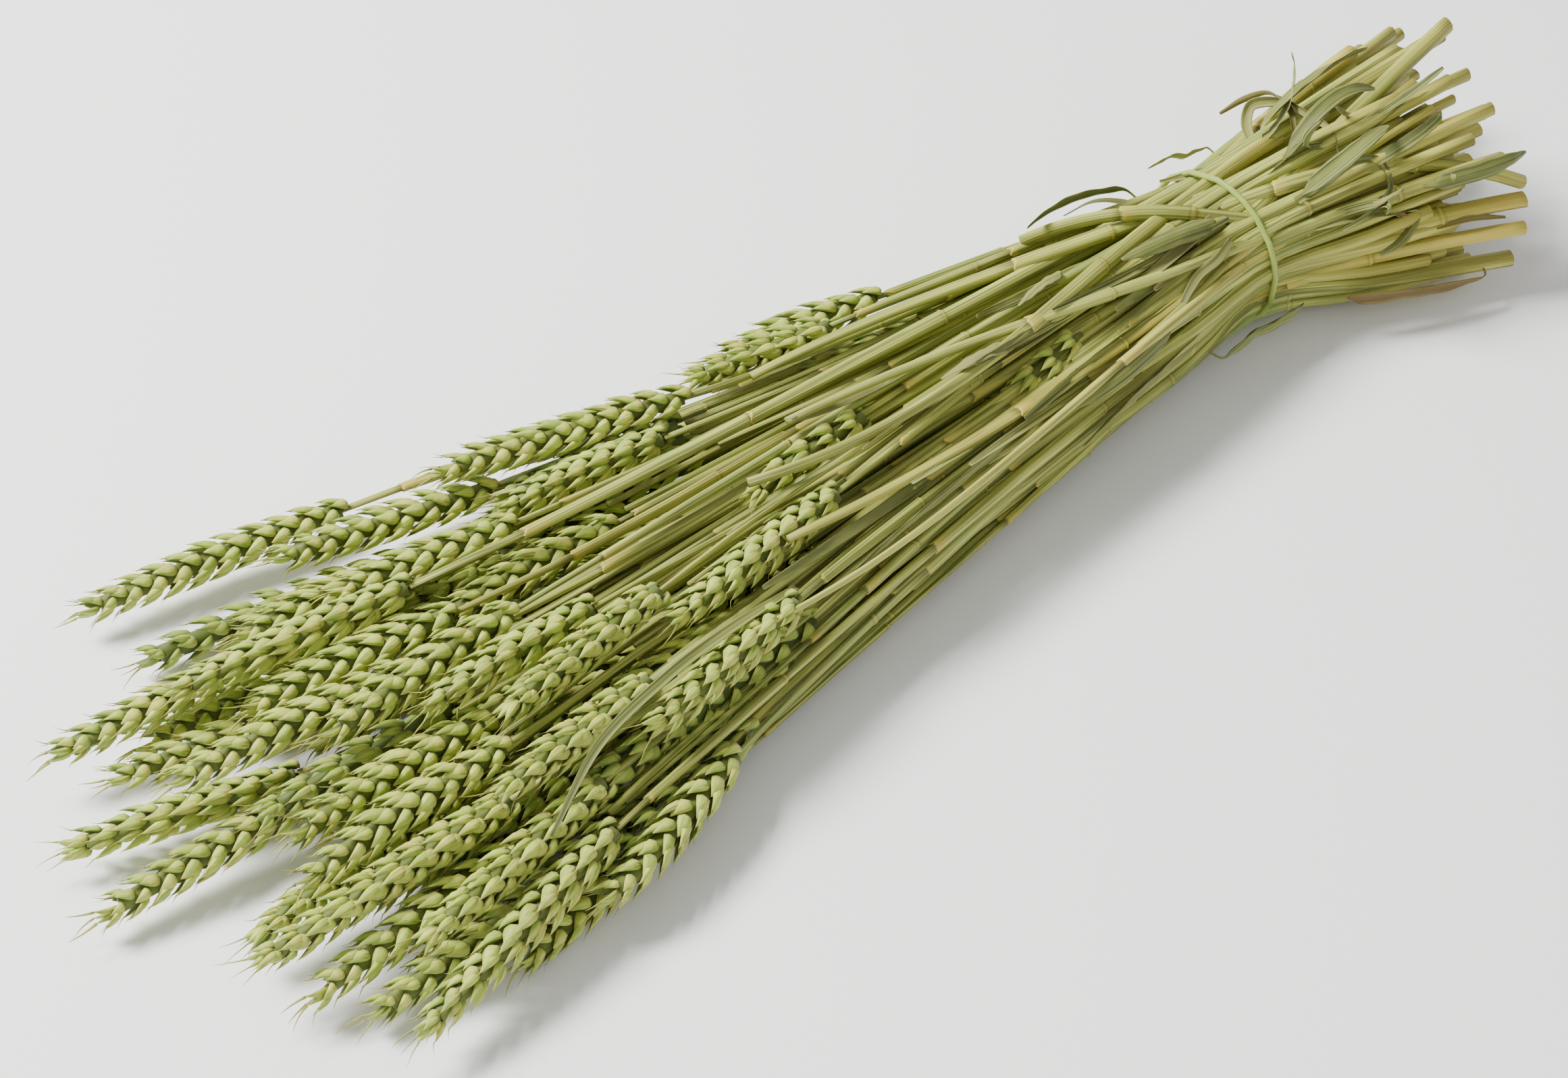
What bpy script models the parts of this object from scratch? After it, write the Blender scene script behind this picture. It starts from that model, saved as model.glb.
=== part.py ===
"""A tied bunch of dried wheat, lying down: stalks with their ears, and the band round them.

The bunch lies along X: the ears fan out towards -X and the cut ends point to +X. Z is up, the
surface that it lies on is z = 0, and every length is in metres.
"""

import math
import random

import bmesh
import bpy
import numpy as np
from mathutils import Matrix, Vector

SEED = 11
WHEAT_COLOUR = (0.42, 0.46, 0.20)
SHADES = (0.85, 1.10)
WHEAT_ROUGHNESS = 0.75
BAND_COLOUR = (0.55, 0.62, 0.36)
BAND_ROUGHNESS = 0.55

# The band, and how the bunch opens out on both sides of it.
TIE_X = 0.165
TIE_Z = 0.0305
TIE_RADIUS = 0.0275
BAND_RADIUS = 0.0011
BAND_GAP = 0.0004
BAND_POINTS = 40
BAND_ZONE = 0.008
TIE_FILL = 0.92
CUT_X = 0.266
CUT_SLANT = 0.029
CUT_SCATTER = 0.010
CUT_SPREAD = 1.82
CUT_RISE = 1.30
CUT_SIDE_SHIFT = -0.018
CUT_SIDE_SCATTER = 0.006
CUT_RISE_SCATTER = 0.004

# How a stalk's place under its ear decides its place at the tie, and how the stems bow out.
NECK_HALF_WIDTH = 0.028
NECK_OPENING = 0.17
NECK_SIDE_SHIFT = 0.0014
NECK_LOWEST = 0.008
NECK_HEIGHTS = 0.040
TURN_SCATTER = 0.16
BOW = 0.25

# One straw: thick at the cut end, thin at the neck under the ear.
STRAW_SIDES = 6
CUT_END_RADIUS = 0.0029
NECK_RADIUS = 0.0012
STRAW_TAPER = 0.6
SHORTEST_RUN = 0.002

# One ear: four columns of spikelets, the left pair half a row behind the right pair.
EAR_RADIUS = 0.0073
SPIKELET_ROW = 0.0100
EAR_NECK = 0.0020
EAR_POINT = 0.0060
CORE_SHARE = (0.62, 0.70)
SPIKELET_SPLAY = math.radians(30)
SPIKELET_LEAN = 0.92
NECK_SHARE = 0.55

# How far the columns of an ear are turned from level, in degrees. The ears named here show the
# side of their fans from above, and the others look like a plait.
FAN_TURN = 127
FAN_TURN_OFF = 32
PLAIT_TURN = 217
PLAIT_TURN_OFF = 8
SEEN_AS_FANS = (3, 5, 9, 15, 18, 20, 23, 24, 25, 26, 27, 28, 29, 34, 37)

# Stations along the bunch where a straw may bend, and the free gap between neighbours.
STATIONS = (0.300, 0.262, 0.235, 0.205, TIE_X, 0.125, 0.080, 0.030, -0.020, -0.070, -0.120,
            -0.170, -0.220, -0.270, -0.325)
BETWEEN = 8
GAP = 0.0005
TOUCH = 0.00015
END_MARGIN = 0.004
SETTLE_STEPS = 700
SOFT_STEPS = 0.6 * SETTLE_STEPS
PULL = 0.06
STRAIGHTEN = 0.30
GIVE = 0.4
NEAR_TIE = 0.004

# The ears that lie on top: tip x, tip y, height of the tip, ear length, then the heading and
# the slope down to the tip in degrees.
TOP_EARS = (
    (-0.232, 0.137, 0.012, 0.100, 9, 1), (-0.176, 0.098, 0.020, 0.085, 21, 4),
    (-0.107, 0.101, 0.020, 0.078, 20, 4), (-0.120, 0.086, 0.034, 0.098, 22, 2),
    (-0.114, 0.062, 0.028, 0.070, 12, 0), (-0.158, 0.038, 0.028, 0.075, 4, 3),
    (-0.198, 0.097, 0.014, 0.066, 11, 6), (-0.177, 0.068, 0.030, 0.072, 22, 6),
    (-0.242, 0.063, 0.036, 0.090, 16, 5), (-0.276, 0.084, 0.018, 0.100, 9, 6),
    (-0.268, 0.061, 0.020, 0.086, 21, 6), (-0.222, 0.013, 0.042, 0.080, 1, 4),
    (-0.227, 0.046, 0.027, 0.080, 15, 5), (-0.261, 0.033, 0.032, 0.086, 17, 7),
    (-0.292, 0.051, 0.013, 0.086, 28, 7), (-0.299, 0.025, 0.010, 0.086, 8, 3),
    (-0.249, -0.006, 0.038, 0.078, 0, 4), (-0.273, -0.015, 0.016, 0.090, -2, 7),
    (-0.256, -0.025, 0.031, 0.082, 3, 6), (-0.280, -0.031, 0.022, 0.098, 11, 9),
    (-0.272, -0.043, 0.010, 0.080, 2, 4), (-0.261, -0.058, 0.009, 0.076, 1, 4),
    (-0.257, -0.077, 0.014, 0.094, -9, 8), (-0.241, -0.056, 0.024, 0.084, -4, 7),
    (-0.145, -0.046, 0.038, 0.076, -9, 2), (-0.197, -0.041, 0.039, 0.070, -3, 2),
    (-0.115, -0.020, 0.046, 0.083, -6, 0), (-0.179, -0.020, 0.047, 0.075, -5, 0),
    (-0.194, -0.003, 0.042, 0.072, 2, 3), (-0.160, -0.027, 0.032, 0.074, -6, 2),
    (-0.043, 0.020, 0.032, 0.042, 2, 0), (0.037, -0.012, 0.036, 0.042, -9, 0),
    (-0.010, 0.076, 0.027, 0.070, 12, 3), (-0.028, 0.067, 0.034, 0.062, 17, 3),
    (-0.188, -0.066, 0.014, 0.075, -11, 3), (-0.216, -0.069, 0.009, 0.080, -12, 1),
    (-0.145, -0.048, 0.014, 0.070, 0, 2),
)

# The ears below them: rows from the bottom up, as reach of the tip, height and how many.
LOWER_ROWS = ((-0.236, 0.010, 6), (-0.180, 0.010, 6), (-0.110, 0.012, 5), (-0.215, 0.022, 4))
FAN_REACH = -0.25
FAN_HALF_WIDTH = 0.082
FAN_SIDE_SHIFT = 0.014
MIDDLE_Y = 0.031
LOWER_SCATTER = 0.015
LOWER_EAR_LENGTH = 0.078
LOWER_LENGTHS = (0.85, 1.12)
LOWER_SLOPE = math.radians(2)
LOWER_HEADING = 13
LOWER_HEADING_SCATTER = 3

# Dry leaf blades: root x, direction round the bunch in degrees, length, way along x, rise in
# the middle, rise at the tip, drift to the side, width and twist in degrees.
LEAVES = (
    (0.150, 45, 0.050, -1, 0.0025, 0.000, 0.003, 0.007, 25),
    (0.192, 40, 0.028, -1, 0.001, 0.003, -0.002, 0.005, 10),
    (0.196, 62, 0.066, 1, 0.003, 0.002, 0.004, 0.008, 25),
    (0.152, 118, 0.046, -1, 0.003, 0.001, -0.006, 0.009, 20),
    (0.222, 152, 0.040, 1, 0.004, 0.000, 0.004, 0.009, -30),
    (0.180, 125, 0.042, 1, 0.007, 0.000, -0.004, 0.007, 45),
    (0.186, 90, 0.044, 1, 0.009, 0.002, 0.003, 0.006, -40),
    (0.092, 80, 0.026, -1, 0.002, 0.001, 0.004, 0.006, 15),
    (0.052, 105, 0.032, -1, 0.003, 0.000, -0.003, 0.007, 50),
    (0.178, 200, 0.044, -1, 0.001, 0.002, 0.002, 0.007, 15),
    (0.188, 196, 0.052, 1, 0.0005, 0.000, -0.003, 0.008, -10),
    (0.112, 145, 0.055, -1, 0.003, 0.000, 0.004, 0.007, 25),
)
LEAF_THICKNESS = 0.0007
LEAF_CLEARANCE = 0.0007
LEAF_MARGIN = 0.004
LEAF_SECTIONS = (0.0, 0.06, 0.16, 0.30, 0.45, 0.60, 0.75, 0.88, 1.0)
LEAF_WIDTHS = (0.16, 0.22, 0.85, 1.0, 1.0, 0.95, 0.80, 0.55, 0.18)


def ear_ends():
    """Base and tip of every ear, first those on top and then the lower rows."""
    draw = random.Random(SEED)
    rows = [row[:4] + (math.radians(row[4]), math.radians(row[5])) for row in TOP_EARS]
    for reach, height, count in LOWER_ROWS:
        for place in range(count):
            across = (place + draw.uniform(0.3, 0.7)) / count * 2 - 1
            width = FAN_HALF_WIDTH * (TIE_X - reach) / (TIE_X - FAN_REACH)
            tip_x = reach + draw.uniform(-LOWER_SCATTER, LOWER_SCATTER)
            length = LOWER_EAR_LENGTH * draw.uniform(*LOWER_LENGTHS)
            heading = across * LOWER_HEADING
            heading += draw.uniform(-LOWER_HEADING_SCATTER, LOWER_HEADING_SCATTER)
            rows.append((tip_x, FAN_SIDE_SHIFT + across * width, height, length,
                         math.radians(heading), LOWER_SLOPE))
    tip = np.array([row[:3] for row in rows])
    length = np.array([row[3] for row in rows])
    heading, slope = np.array([row[4] for row in rows]), np.array([row[5] for row in rows])
    way = np.stack([np.cos(heading), -np.sin(heading), np.sin(slope)], 1)
    base = tip + way * length[:, None]
    return base, tip


def straw_radius(x, cut_x, base_x):
    """A straw's radius where it passes x: thick at the cut, thin at the neck."""
    along = np.clip((x - base_x) / (cut_x - base_x), 0, 1)
    return NECK_RADIUS + (CUT_END_RADIUS - NECK_RADIUS) * along ** STRAW_TAPER


def ear_radius(along):
    """An ear's outer radius from its base (0) to its tip (1)."""
    along = np.clip(along, 0, 1)
    return EAR_RADIUS * (NECK_SHARE + (1 - NECK_SHARE) * np.sin(np.pi * along ** 0.8) ** 0.7)


def radius_at(x, cut_x, base_x, tip_x):
    """Each stalk's radius at x, and none past its tip or its cut end."""
    in_ear = ear_radius((base_x - x) / (base_x - tip_x))
    radius = np.where(x < base_x + END_MARGIN, in_ear, straw_radius(x, cut_x, base_x))
    return np.where((x < tip_x - END_MARGIN) | (x > cut_x + END_MARGIN), 0.0, radius)


def wanted_paths(base, tip, draw):
    """Where each stalk would run if it met no other, and where it is cut."""
    count = len(base)
    half = NECK_HALF_WIDTH + NECK_OPENING * (TIE_X - base[:, 0])
    side = np.clip((base[:, 1] - NECK_SIDE_SHIFT) / half, -0.95, 0.95)
    lift = np.clip((base[:, 2] - NECK_LOWEST) / NECK_HEIGHTS, 0, 1) * 2 - 1
    reach = np.maximum(1, np.hypot(side, lift))
    turn = np.array([draw.gauss(0, TURN_SCATTER) for _ in range(count)])
    side, lift = side / reach, lift / reach
    side, lift = side * np.cos(turn) - lift * np.sin(turn), side * np.sin(turn) + lift * np.cos(turn)
    tie = np.stack([side, lift], 1) * TIE_RADIUS * TIE_FILL + (0, TIE_Z)
    cut = np.stack([side * TIE_RADIUS * CUT_SPREAD + CUT_SIDE_SHIFT,
                    TIE_Z + lift * TIE_RADIUS * CUT_RISE], 1)
    cut += [[draw.gauss(0, CUT_SIDE_SCATTER), draw.gauss(0, CUT_RISE_SCATTER)] for _ in range(count)]
    cut_x = CUT_X + CUT_SLANT * side + [draw.uniform(-1, 1) * CUT_SCATTER for _ in range(count)]
    bow = (1 - BOW * side)[:, None]
    slope = (tip[:, 1:] - base[:, 1:]) / (tip[:, :1] - base[:, :1])
    paths = []
    for x in STATIONS:
        butt = tie + (cut - tie) * (x - TIE_X) / (CUT_X - TIE_X)
        along = np.clip((TIE_X - x) / (TIE_X - base[:, :1]), 0, 1)
        stem = tie + (base[:, 1:] - tie) * along ** bow
        ear = base[:, 1:] + slope * (x - base[:, :1])
        paths.append(np.where(x > TIE_X, butt, np.where(x > base[:, :1], stem, ear)))
    return np.array(paths), cut_x


def pushes(places, radius, floor):
    """How far each stalk is pushed in one cross-section by its neighbours and the surface."""
    apart = places[:, :, None] - places[:, None]
    distance = np.sqrt((apart ** 2).sum(-1)) + 1e-9
    need = radius[:, :, None] + radius[:, None] + GAP
    both = (radius[:, :, None] > 0) & (radius[:, None] > 0) & (distance > 1e-8)
    overlap = np.where(both, np.maximum(need - distance, 0), 0)
    push = (apart * (overlap / distance)[..., None]).sum(2) * 0.5
    push[..., 1] += np.maximum(floor - places[..., 1], 0) * (radius > 0)
    return push, overlap.max()


def settle(wanted, cut_x, base_x, tip_x):
    """Moves the wanted paths until no two stalks touch, and none is under the surface."""
    stations = np.array(STATIONS)
    first = np.repeat(np.arange(len(stations) - 1), BETWEEN)
    share = np.tile(np.arange(BETWEEN) / BETWEEN, len(stations) - 1)
    x = stations[first] * (1 - share) + stations[first + 1] * share
    radius = radius_at(x[:, None], cut_x, base_x, tip_x)
    floor = np.where(x[:, None] < base_x + END_MARGIN, radius, radius * math.cos(math.pi / STRAW_SIDES))
    near_tie = np.abs(x - TIE_X) < NEAR_TIE
    a, b = (1 - share)[:, None, None], share[:, None, None]
    before = (stations[:-2] - stations[1:-1])[:, None, None]
    after = (stations[1:-1] - stations[2:])[:, None, None]
    path = wanted.copy()
    for step in range(SETTLE_STEPS):
        soft = max(0.0, 1 - step / SOFT_STEPS)
        path += (wanted - path) * PULL * soft
        middle = (path[:-2] * after + path[2:] * before) / (before + after)
        path[1:-1] += (middle - path[1:-1]) * STRAIGHTEN * soft
        places = a * path[first] + b * path[first + 1]
        push, worst = pushes(places, radius, floor)
        out = places - (0, TIE_Z)
        far = np.hypot(out[..., 0], out[..., 1])
        squeeze = np.maximum(far + radius - TIE_RADIUS, 0) * near_tie[:, None]
        push -= out / (far[..., None] + 1e-9) * squeeze[..., None]
        np.add.at(path, first, push * a * GIVE)
        np.add.at(path, first + 1, push * b * GIVE)
    print(f"settled: deepest overlap left is {worst * 1000:.2f} mm of the {GAP * 1000:.1f} mm gap")
    x = stations[:, None]
    ground = straw_radius(x, cut_x, base_x) * math.cos(math.pi / STRAW_SIDES)
    low = (path[..., 1] < ground + TOUCH) & (x > base_x) & (x < cut_x)
    path[..., 1] = np.where(low, ground, path[..., 1])
    return path


def centre(path, stalk, x):
    """The point of a stalk's centre line at x."""
    y = np.interp(x, STATIONS[::-1], path[::-1, stalk, 0])
    z = np.interp(x, STATIONS[::-1], path[::-1, stalk, 1])
    return Vector((x, y, z))


def lay_out():
    """Every stalk's centre line, cut end, base and tip of the ear."""
    draw = random.Random(SEED + 1)
    base, tip = ear_ends()
    wanted, cut_x = wanted_paths(base, tip, draw)
    path = settle(wanted, cut_x, base[:, 0], tip[:, 0])
    path[..., 0] -= MIDDLE_Y
    return path, cut_x, base[:, 0], tip[:, 0]


def ring(mesh, place, radius, sides):
    """A closed loop of edges round a stalk, across the bunch, with a flat side down."""
    facing = Matrix.Rotation(math.radians(90), 4, "Y")
    made = bmesh.ops.create_circle(mesh, radius=radius, segments=sides,
                                   matrix=Matrix.Translation(place) @ facing)
    return made["verts"]


def ring_edges(ring_vertices):
    """The edges that join a ring's own vertices."""
    own = set(ring_vertices)
    return [edge for vertex in own for edge in vertex.link_edges
            if edge.other_vert(vertex) in own and vertex.index <= edge.other_vert(vertex).index]


def bridge(mesh, one, other):
    """Faces between two rings."""
    mesh.verts.index_update()
    return bmesh.ops.bridge_loops(mesh, edges=ring_edges(one) + ring_edges(other))["faces"]


def add_straw(mesh, path, stalk, cut_x, base_x):
    """The hexagonal straw from the cut end to the neck; gives its last ring."""
    bends = [x for x in STATIONS if base_x + SHORTEST_RUN < x < cut_x - SHORTEST_RUN]
    rings = []
    for x in [cut_x] + bends + [base_x]:
        radius = float(straw_radius(x, cut_x, base_x))
        place = centre(path, stalk, x)
        place.z = max(place.z, radius * math.cos(math.pi / STRAW_SIDES))
        rings.append(ring(mesh, place, radius, STRAW_SIDES))
    for one, other in zip(rings, rings[1:]):
        bridge(mesh, one, other)
    bmesh.ops.contextual_create(mesh, geom=ring_edges(rings[0]))
    return rings[-1]


def add_ear(mesh, path, stalk, base_x, tip_x, spin, neck_ring):
    """The ear: a four-sided core whose faces are drawn out into overlapping spikelets."""
    length = base_x - tip_x
    rows = max(3, round((length - EAR_NECK - EAR_POINT) / SPIKELET_ROW))
    row = (length - EAR_NECK - EAR_POINT) / (rows + 0.5)
    turned = Matrix.Rotation(spin, 4, "X")
    last, quads = neck_ring, []
    for k in range(rows + 1):
        corners = []
        for number in range(4):
            around = number * math.pi / 2
            x = base_x - EAR_NECK - row * (k + (1 - math.cos(around)) / 4)
            reach = CORE_SHARE[number % 2] * float(ear_radius((base_x - x) / length))
            out = turned @ Vector((0, math.cos(around), math.sin(around))) * reach
            corners.append(mesh.verts.new(centre(path, stalk, x) + out))
        for one, other in zip(corners, corners[1:] + corners[:1]):
            mesh.edges.new((one, other))
        faces = bridge(mesh, last, corners)
        quads += [(face, k - 1) for face in faces] if k else []
        last = corners
    point = mesh.verts.new(centre(path, stalk, tip_x))
    for one, other in zip(last, last[1:] + last[:1]):
        mesh.faces.new((one, other, point))
    for face, k in quads:
        middle = face.calc_center_median() - centre(path, stalk, face.calc_center_median().x)
        middle = turned.inverted() @ middle
        left = middle.y < 0
        x = base_x - EAR_NECK - row * (k + SPIKELET_LEAN + (0.5 if left else 0))
        reach = float(ear_radius((base_x - x) / length))
        out = Vector((0, math.copysign(math.cos(SPIKELET_SPLAY), middle.y),
                      math.copysign(math.sin(SPIKELET_SPLAY), middle.z)))
        poked = bmesh.ops.poke(mesh, faces=[face])
        poked["verts"][0].co = centre(path, stalk, x) + turned @ out * reach


def ear_turn(number):
    """How far the columns of the ear of a stalk are turned, by the stalk's number."""
    if number in SEEN_AS_FANS:
        return math.radians(FAN_TURN + (FAN_TURN_OFF if number % 2 else -FAN_TURN_OFF))
    return math.radians(PLAIT_TURN + PLAIT_TURN_OFF * (number * 7 % 5 - 2))


def build_stalk(path, stalk, cut_x, base_x, tip_x, spin):
    """One stalk with its ear, as one closed solid."""
    mesh = bmesh.new()
    neck = add_straw(mesh, path, stalk, cut_x, base_x)
    add_ear(mesh, path, stalk, base_x, tip_x, spin, neck)
    bmesh.ops.recalc_face_normals(mesh, faces=mesh.faces)
    bmesh.ops.triangulate(mesh, faces=[face for face in mesh.faces if len(face.verts) > 4])
    data = bpy.data.meshes.new(f"stalk_{stalk + 1:02d}")
    mesh.to_mesh(data)
    mesh.free()
    return bpy.data.objects.new(data.name, data)


def outermost(layout, way, x):
    """The stalk that reaches farthest in a direction across the bunch at x, and how far."""
    path, cut_x, base_x, tip_x = layout
    y = np.array([np.interp(x, STATIONS[::-1], path[::-1, i, 0]) for i in range(len(cut_x))])
    z = np.array([np.interp(x, STATIONS[::-1], path[::-1, i, 1]) for i in range(len(cut_x))])
    radius = radius_at(x, cut_x, base_x, tip_x)
    reach = np.where(radius > 0, y * way.y + z * way.z + radius, -1)
    far = int(np.argmax(reach))
    over_band = 2 * (BAND_RADIUS + BAND_GAP) if abs(x - TIE_X) < BAND_ZONE else 0
    return far, float(reach[far]) + over_band


def build_leaf(layout, row):
    """One dry blade: a thin ribbon from inside a straw, then clear of everything under it."""
    root, around, length, along, middle, end, drift, width, twist = row
    way = Vector((0, math.cos(math.radians(around)), math.sin(math.radians(around))))
    side = Vector((0, -way.z, way.y))
    far, _ = outermost(layout, way, root)
    start = centre(layout[0], far, root)
    mesh, last = bmesh.new(), None
    for share, width_share in zip(LEAF_SECTIONS, LEAF_WIDTHS):
        x = root + along * length * share
        half = width * width_share / 2
        turn = math.radians(twist) * share
        if share:
            reach = max(outermost(layout, way, x + step)[1] for step in (-LEAF_MARGIN, 0, LEAF_MARGIN))
            rise = LEAF_CLEARANCE + LEAF_THICKNESS + half * abs(math.sin(turn))
            height = reach + rise + middle * math.sin(math.pi * share) + end * share
        else:
            height = start.dot(way)
        sideways = start.dot(side) + drift * share
        place = Vector((x, 0, 0)) + way * height + side * sideways
        across = side * math.cos(turn) + way * math.sin(turn)
        through = way * math.cos(turn) - side * math.sin(turn)
        corners = [mesh.verts.new(place + across * half * a + through * LEAF_THICKNESS / 2 * b)
                   for a, b in ((-1, -1), (1, -1), (1, 1), (-1, 1))]
        if last:
            for k in range(4):
                mesh.faces.new((last[k], last[k - 1], corners[k - 1], corners[k]))
        else:
            mesh.faces.new(corners)
        last = corners
    mesh.faces.new(last)
    bmesh.ops.recalc_face_normals(mesh, faces=mesh.faces)
    data = bpy.data.meshes.new("leaf")
    mesh.to_mesh(data)
    mesh.free()
    return far, bpy.data.objects.new("leaf", data)


def join(solid, extra):
    """Unites a second solid with the first, in the first one's mesh."""
    bpy.context.scene.collection.objects.link(extra)
    union = solid.modifiers.new("join", "BOOLEAN")
    union.operation, union.solver, union.object = "UNION", "EXACT", extra
    shown = bpy.context.evaluated_depsgraph_get()
    joined = bpy.data.meshes.new_from_object(solid.evaluated_get(shown))
    solid.modifiers.remove(union)
    solid.data = joined
    bpy.data.objects.remove(extra)


def build_band(path, cut_x, base_x):
    """The band: a closed cord pulled tight round every straw at the tie."""
    radius = straw_radius(TIE_X, cut_x, base_x)
    places = path[STATIONS.index(TIE_X)]
    curve = bpy.data.curves.new("band", "CURVE")
    curve.dimensions = "3D"
    curve.bevel_depth = BAND_RADIUS
    curve.bevel_resolution = 2
    spline = curve.splines.new("POLY")
    spline.points.add(BAND_POINTS - 1)
    spline.use_cyclic_u = True
    for number in range(BAND_POINTS):
        angle = number / BAND_POINTS * 2 * math.pi
        way = np.array([math.cos(angle), math.sin(angle)])
        far = int(np.argmax(places @ way + radius))
        y, z = places[far] + way * (radius[far] + BAND_GAP + BAND_RADIUS)
        spline.points[number].co = (TIE_X, y, z, 1)
    drawn = bpy.data.objects.new("band_curve", curve)
    bpy.context.scene.collection.objects.link(drawn)
    shown = bpy.context.evaluated_depsgraph_get()
    band = bpy.data.objects.new("band", bpy.data.meshes.new_from_object(drawn.evaluated_get(shown)))
    bpy.data.objects.remove(drawn)
    return band


def material(name, colour, roughness):
    """A plain material for one sub-part."""
    made = bpy.data.materials.new(name)
    made.use_nodes = True
    shader = made.node_tree.nodes["Principled BSDF"]
    shader.inputs["Base Color"].default_value = (*colour, 1)
    shader.inputs["Roughness"].default_value = roughness
    shader.inputs["Metallic"].default_value = 0.0
    return made


for thing in list(bpy.data.objects):
    bpy.data.objects.remove(thing)

bunch = bpy.data.collections.new("tied_wheat_bunch")
bpy.context.scene.collection.children.link(bunch)
layout = lay_out()
path, cut_x, base_x, tip_x = layout
draw = random.Random(SEED + 2)
stalks = []
for stalk in range(len(cut_x)):
    ends = float(cut_x[stalk]), float(base_x[stalk]), float(tip_x[stalk])
    made = build_stalk(path, stalk, *ends, ear_turn(stalk + 1))
    shade = draw.uniform(*SHADES)
    colour = [part * shade for part in WHEAT_COLOUR]
    made.data.materials.append(material(f"dry_wheat_{stalk + 1:02d}", colour, WHEAT_ROUGHNESS))
    bunch.objects.link(made)
    stalks.append(made)
for row in LEAVES:
    far, leaf = build_leaf(layout, row)
    leaf.data.materials.append(stalks[far].data.materials[0])
    join(stalks[far], leaf)
    print("leaf at", row[0], row[1], "grows from", stalks[far].name)
band = build_band(path, cut_x, base_x)
band.data.materials.clear()
band.data.materials.append(material("band_elastic", BAND_COLOUR, BAND_ROUGHNESS))
bunch.objects.link(band)
for thing in bunch.objects:
    thing.data.calc_loop_triangles()
print("triangles", sum(len(thing.data.loop_triangles) for thing in bunch.objects))
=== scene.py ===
# %% [markdown]
# # A tied bunch of dried, dyed wheat
# The bunch lies on a pale surface. Its stalks fan out with their ears on one side of a thin
# elastic band, and spread a little on the other, where they were cut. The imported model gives
# fifty-eight of them, each as one plain solid. This script reads the line of each stalk from its
# solid and draws the real thing along it: fine straw, ears made of separate scales, beards and
# dry leaves. Then it adds the stalks that lie between those.

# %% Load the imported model
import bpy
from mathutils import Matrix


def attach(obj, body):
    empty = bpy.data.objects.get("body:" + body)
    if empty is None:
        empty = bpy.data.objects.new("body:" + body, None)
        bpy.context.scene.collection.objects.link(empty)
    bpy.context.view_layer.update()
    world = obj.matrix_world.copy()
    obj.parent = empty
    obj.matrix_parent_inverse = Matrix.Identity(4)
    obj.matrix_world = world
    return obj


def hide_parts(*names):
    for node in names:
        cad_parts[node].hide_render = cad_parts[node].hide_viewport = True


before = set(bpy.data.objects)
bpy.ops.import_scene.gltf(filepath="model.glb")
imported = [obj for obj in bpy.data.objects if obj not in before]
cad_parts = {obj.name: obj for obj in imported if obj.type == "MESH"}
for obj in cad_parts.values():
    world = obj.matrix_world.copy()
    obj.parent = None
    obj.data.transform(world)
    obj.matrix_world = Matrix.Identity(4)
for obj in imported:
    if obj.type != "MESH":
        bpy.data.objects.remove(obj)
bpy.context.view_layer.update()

# %% What the script uses
import math
import random

import bmesh
import bpy
import numpy as np
from mathutils import Matrix, Vector

MM = 0.001
STALKS = sorted(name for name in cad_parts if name.startswith("stalk_"))
print(len(STALKS), "stalks")

# %% [markdown]
# ## Camera
# The photograph looks down on the bunch from beyond the ears, about halfway between level and
# straight down, with a fairly long lens. The camera comes first, because every look at the work
# goes through it. Its place was found by laying a grid over the photograph.

# %% Adding an object to the scene, then the camera
def add_object(name, data):
    """A new object for a camera, mesh or lamp, linked to the scene."""
    added = bpy.data.objects.new(name, data)
    bpy.context.scene.collection.objects.link(added)
    return added


CAMERA_PLACE = Vector((-0.5810, -0.6238, 0.7945))
CAMERA_AIM = Vector((-0.0482, -0.0383, 0.0300))
SENSOR_WIDTH_MM = 36
FOCAL_LENGTH_MM = 77.97
lens = bpy.data.cameras.new("camera")
lens.sensor_width = SENSOR_WIDTH_MM
lens.lens = FOCAL_LENGTH_MM
camera = add_object("camera", lens)
camera.location = CAMERA_PLACE
camera.rotation_euler = (CAMERA_AIM - CAMERA_PLACE).to_track_quat("-Z", "Y").to_euler()
bpy.context.scene.camera = camera
print("the camera is", round((CAMERA_AIM - CAMERA_PLACE).length, 3), "m away")

# %% [markdown]
# ## Reading the stalks
# A packed stalk is a bent six-sided rod with a coarse ear. Its rod has a ring of six points at
# each bend, so points that share one place along the bunch and lie evenly round a middle are such
# a ring. The ear's points come in rows, and the middle of one whole row lies on the ear's axis.
# A dry leaf shows as sections of four points. Reading them here, instead of drawing new lines,
# keeps every fine piece where the solid is.

# %% A mesh's points, and directions of length 1
def points_of(mesh):
    """The points of a mesh as rows of x, y, z."""
    points = np.empty(len(mesh.vertices) * 3)
    mesh.vertices.foreach_get("co", points)
    return points.reshape(-1, 3)


def unit(rows):
    """Rows of x, y, z, each scaled to length 1."""
    return rows / np.linalg.norm(rows, axis=1)[:, None]


# %% Points of a stalk, sorted along the bunch
# Points this close along x, in metres, share a place, and points are rounded to the micrometre.
SAME_PLACE = 2e-5
DECIMALS = 6
EVEN_WITHIN = 0.04


def point_groups(node):
    """A node's points, and the same points grouped by their place along x."""
    points = np.unique(points_of(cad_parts[node].data).round(DECIMALS), axis=0)
    return points, np.split(points, np.where(np.diff(points[:, 0]) > SAME_PLACE)[0] + 1)


def is_even(group, count):
    """True if a group is a ring or a box: so many points, all equally far from their middle."""
    far = np.linalg.norm(group - group.mean(0), axis=1)
    return len(group) == count and far.std() < EVEN_WITHIN * far.mean()


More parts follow.
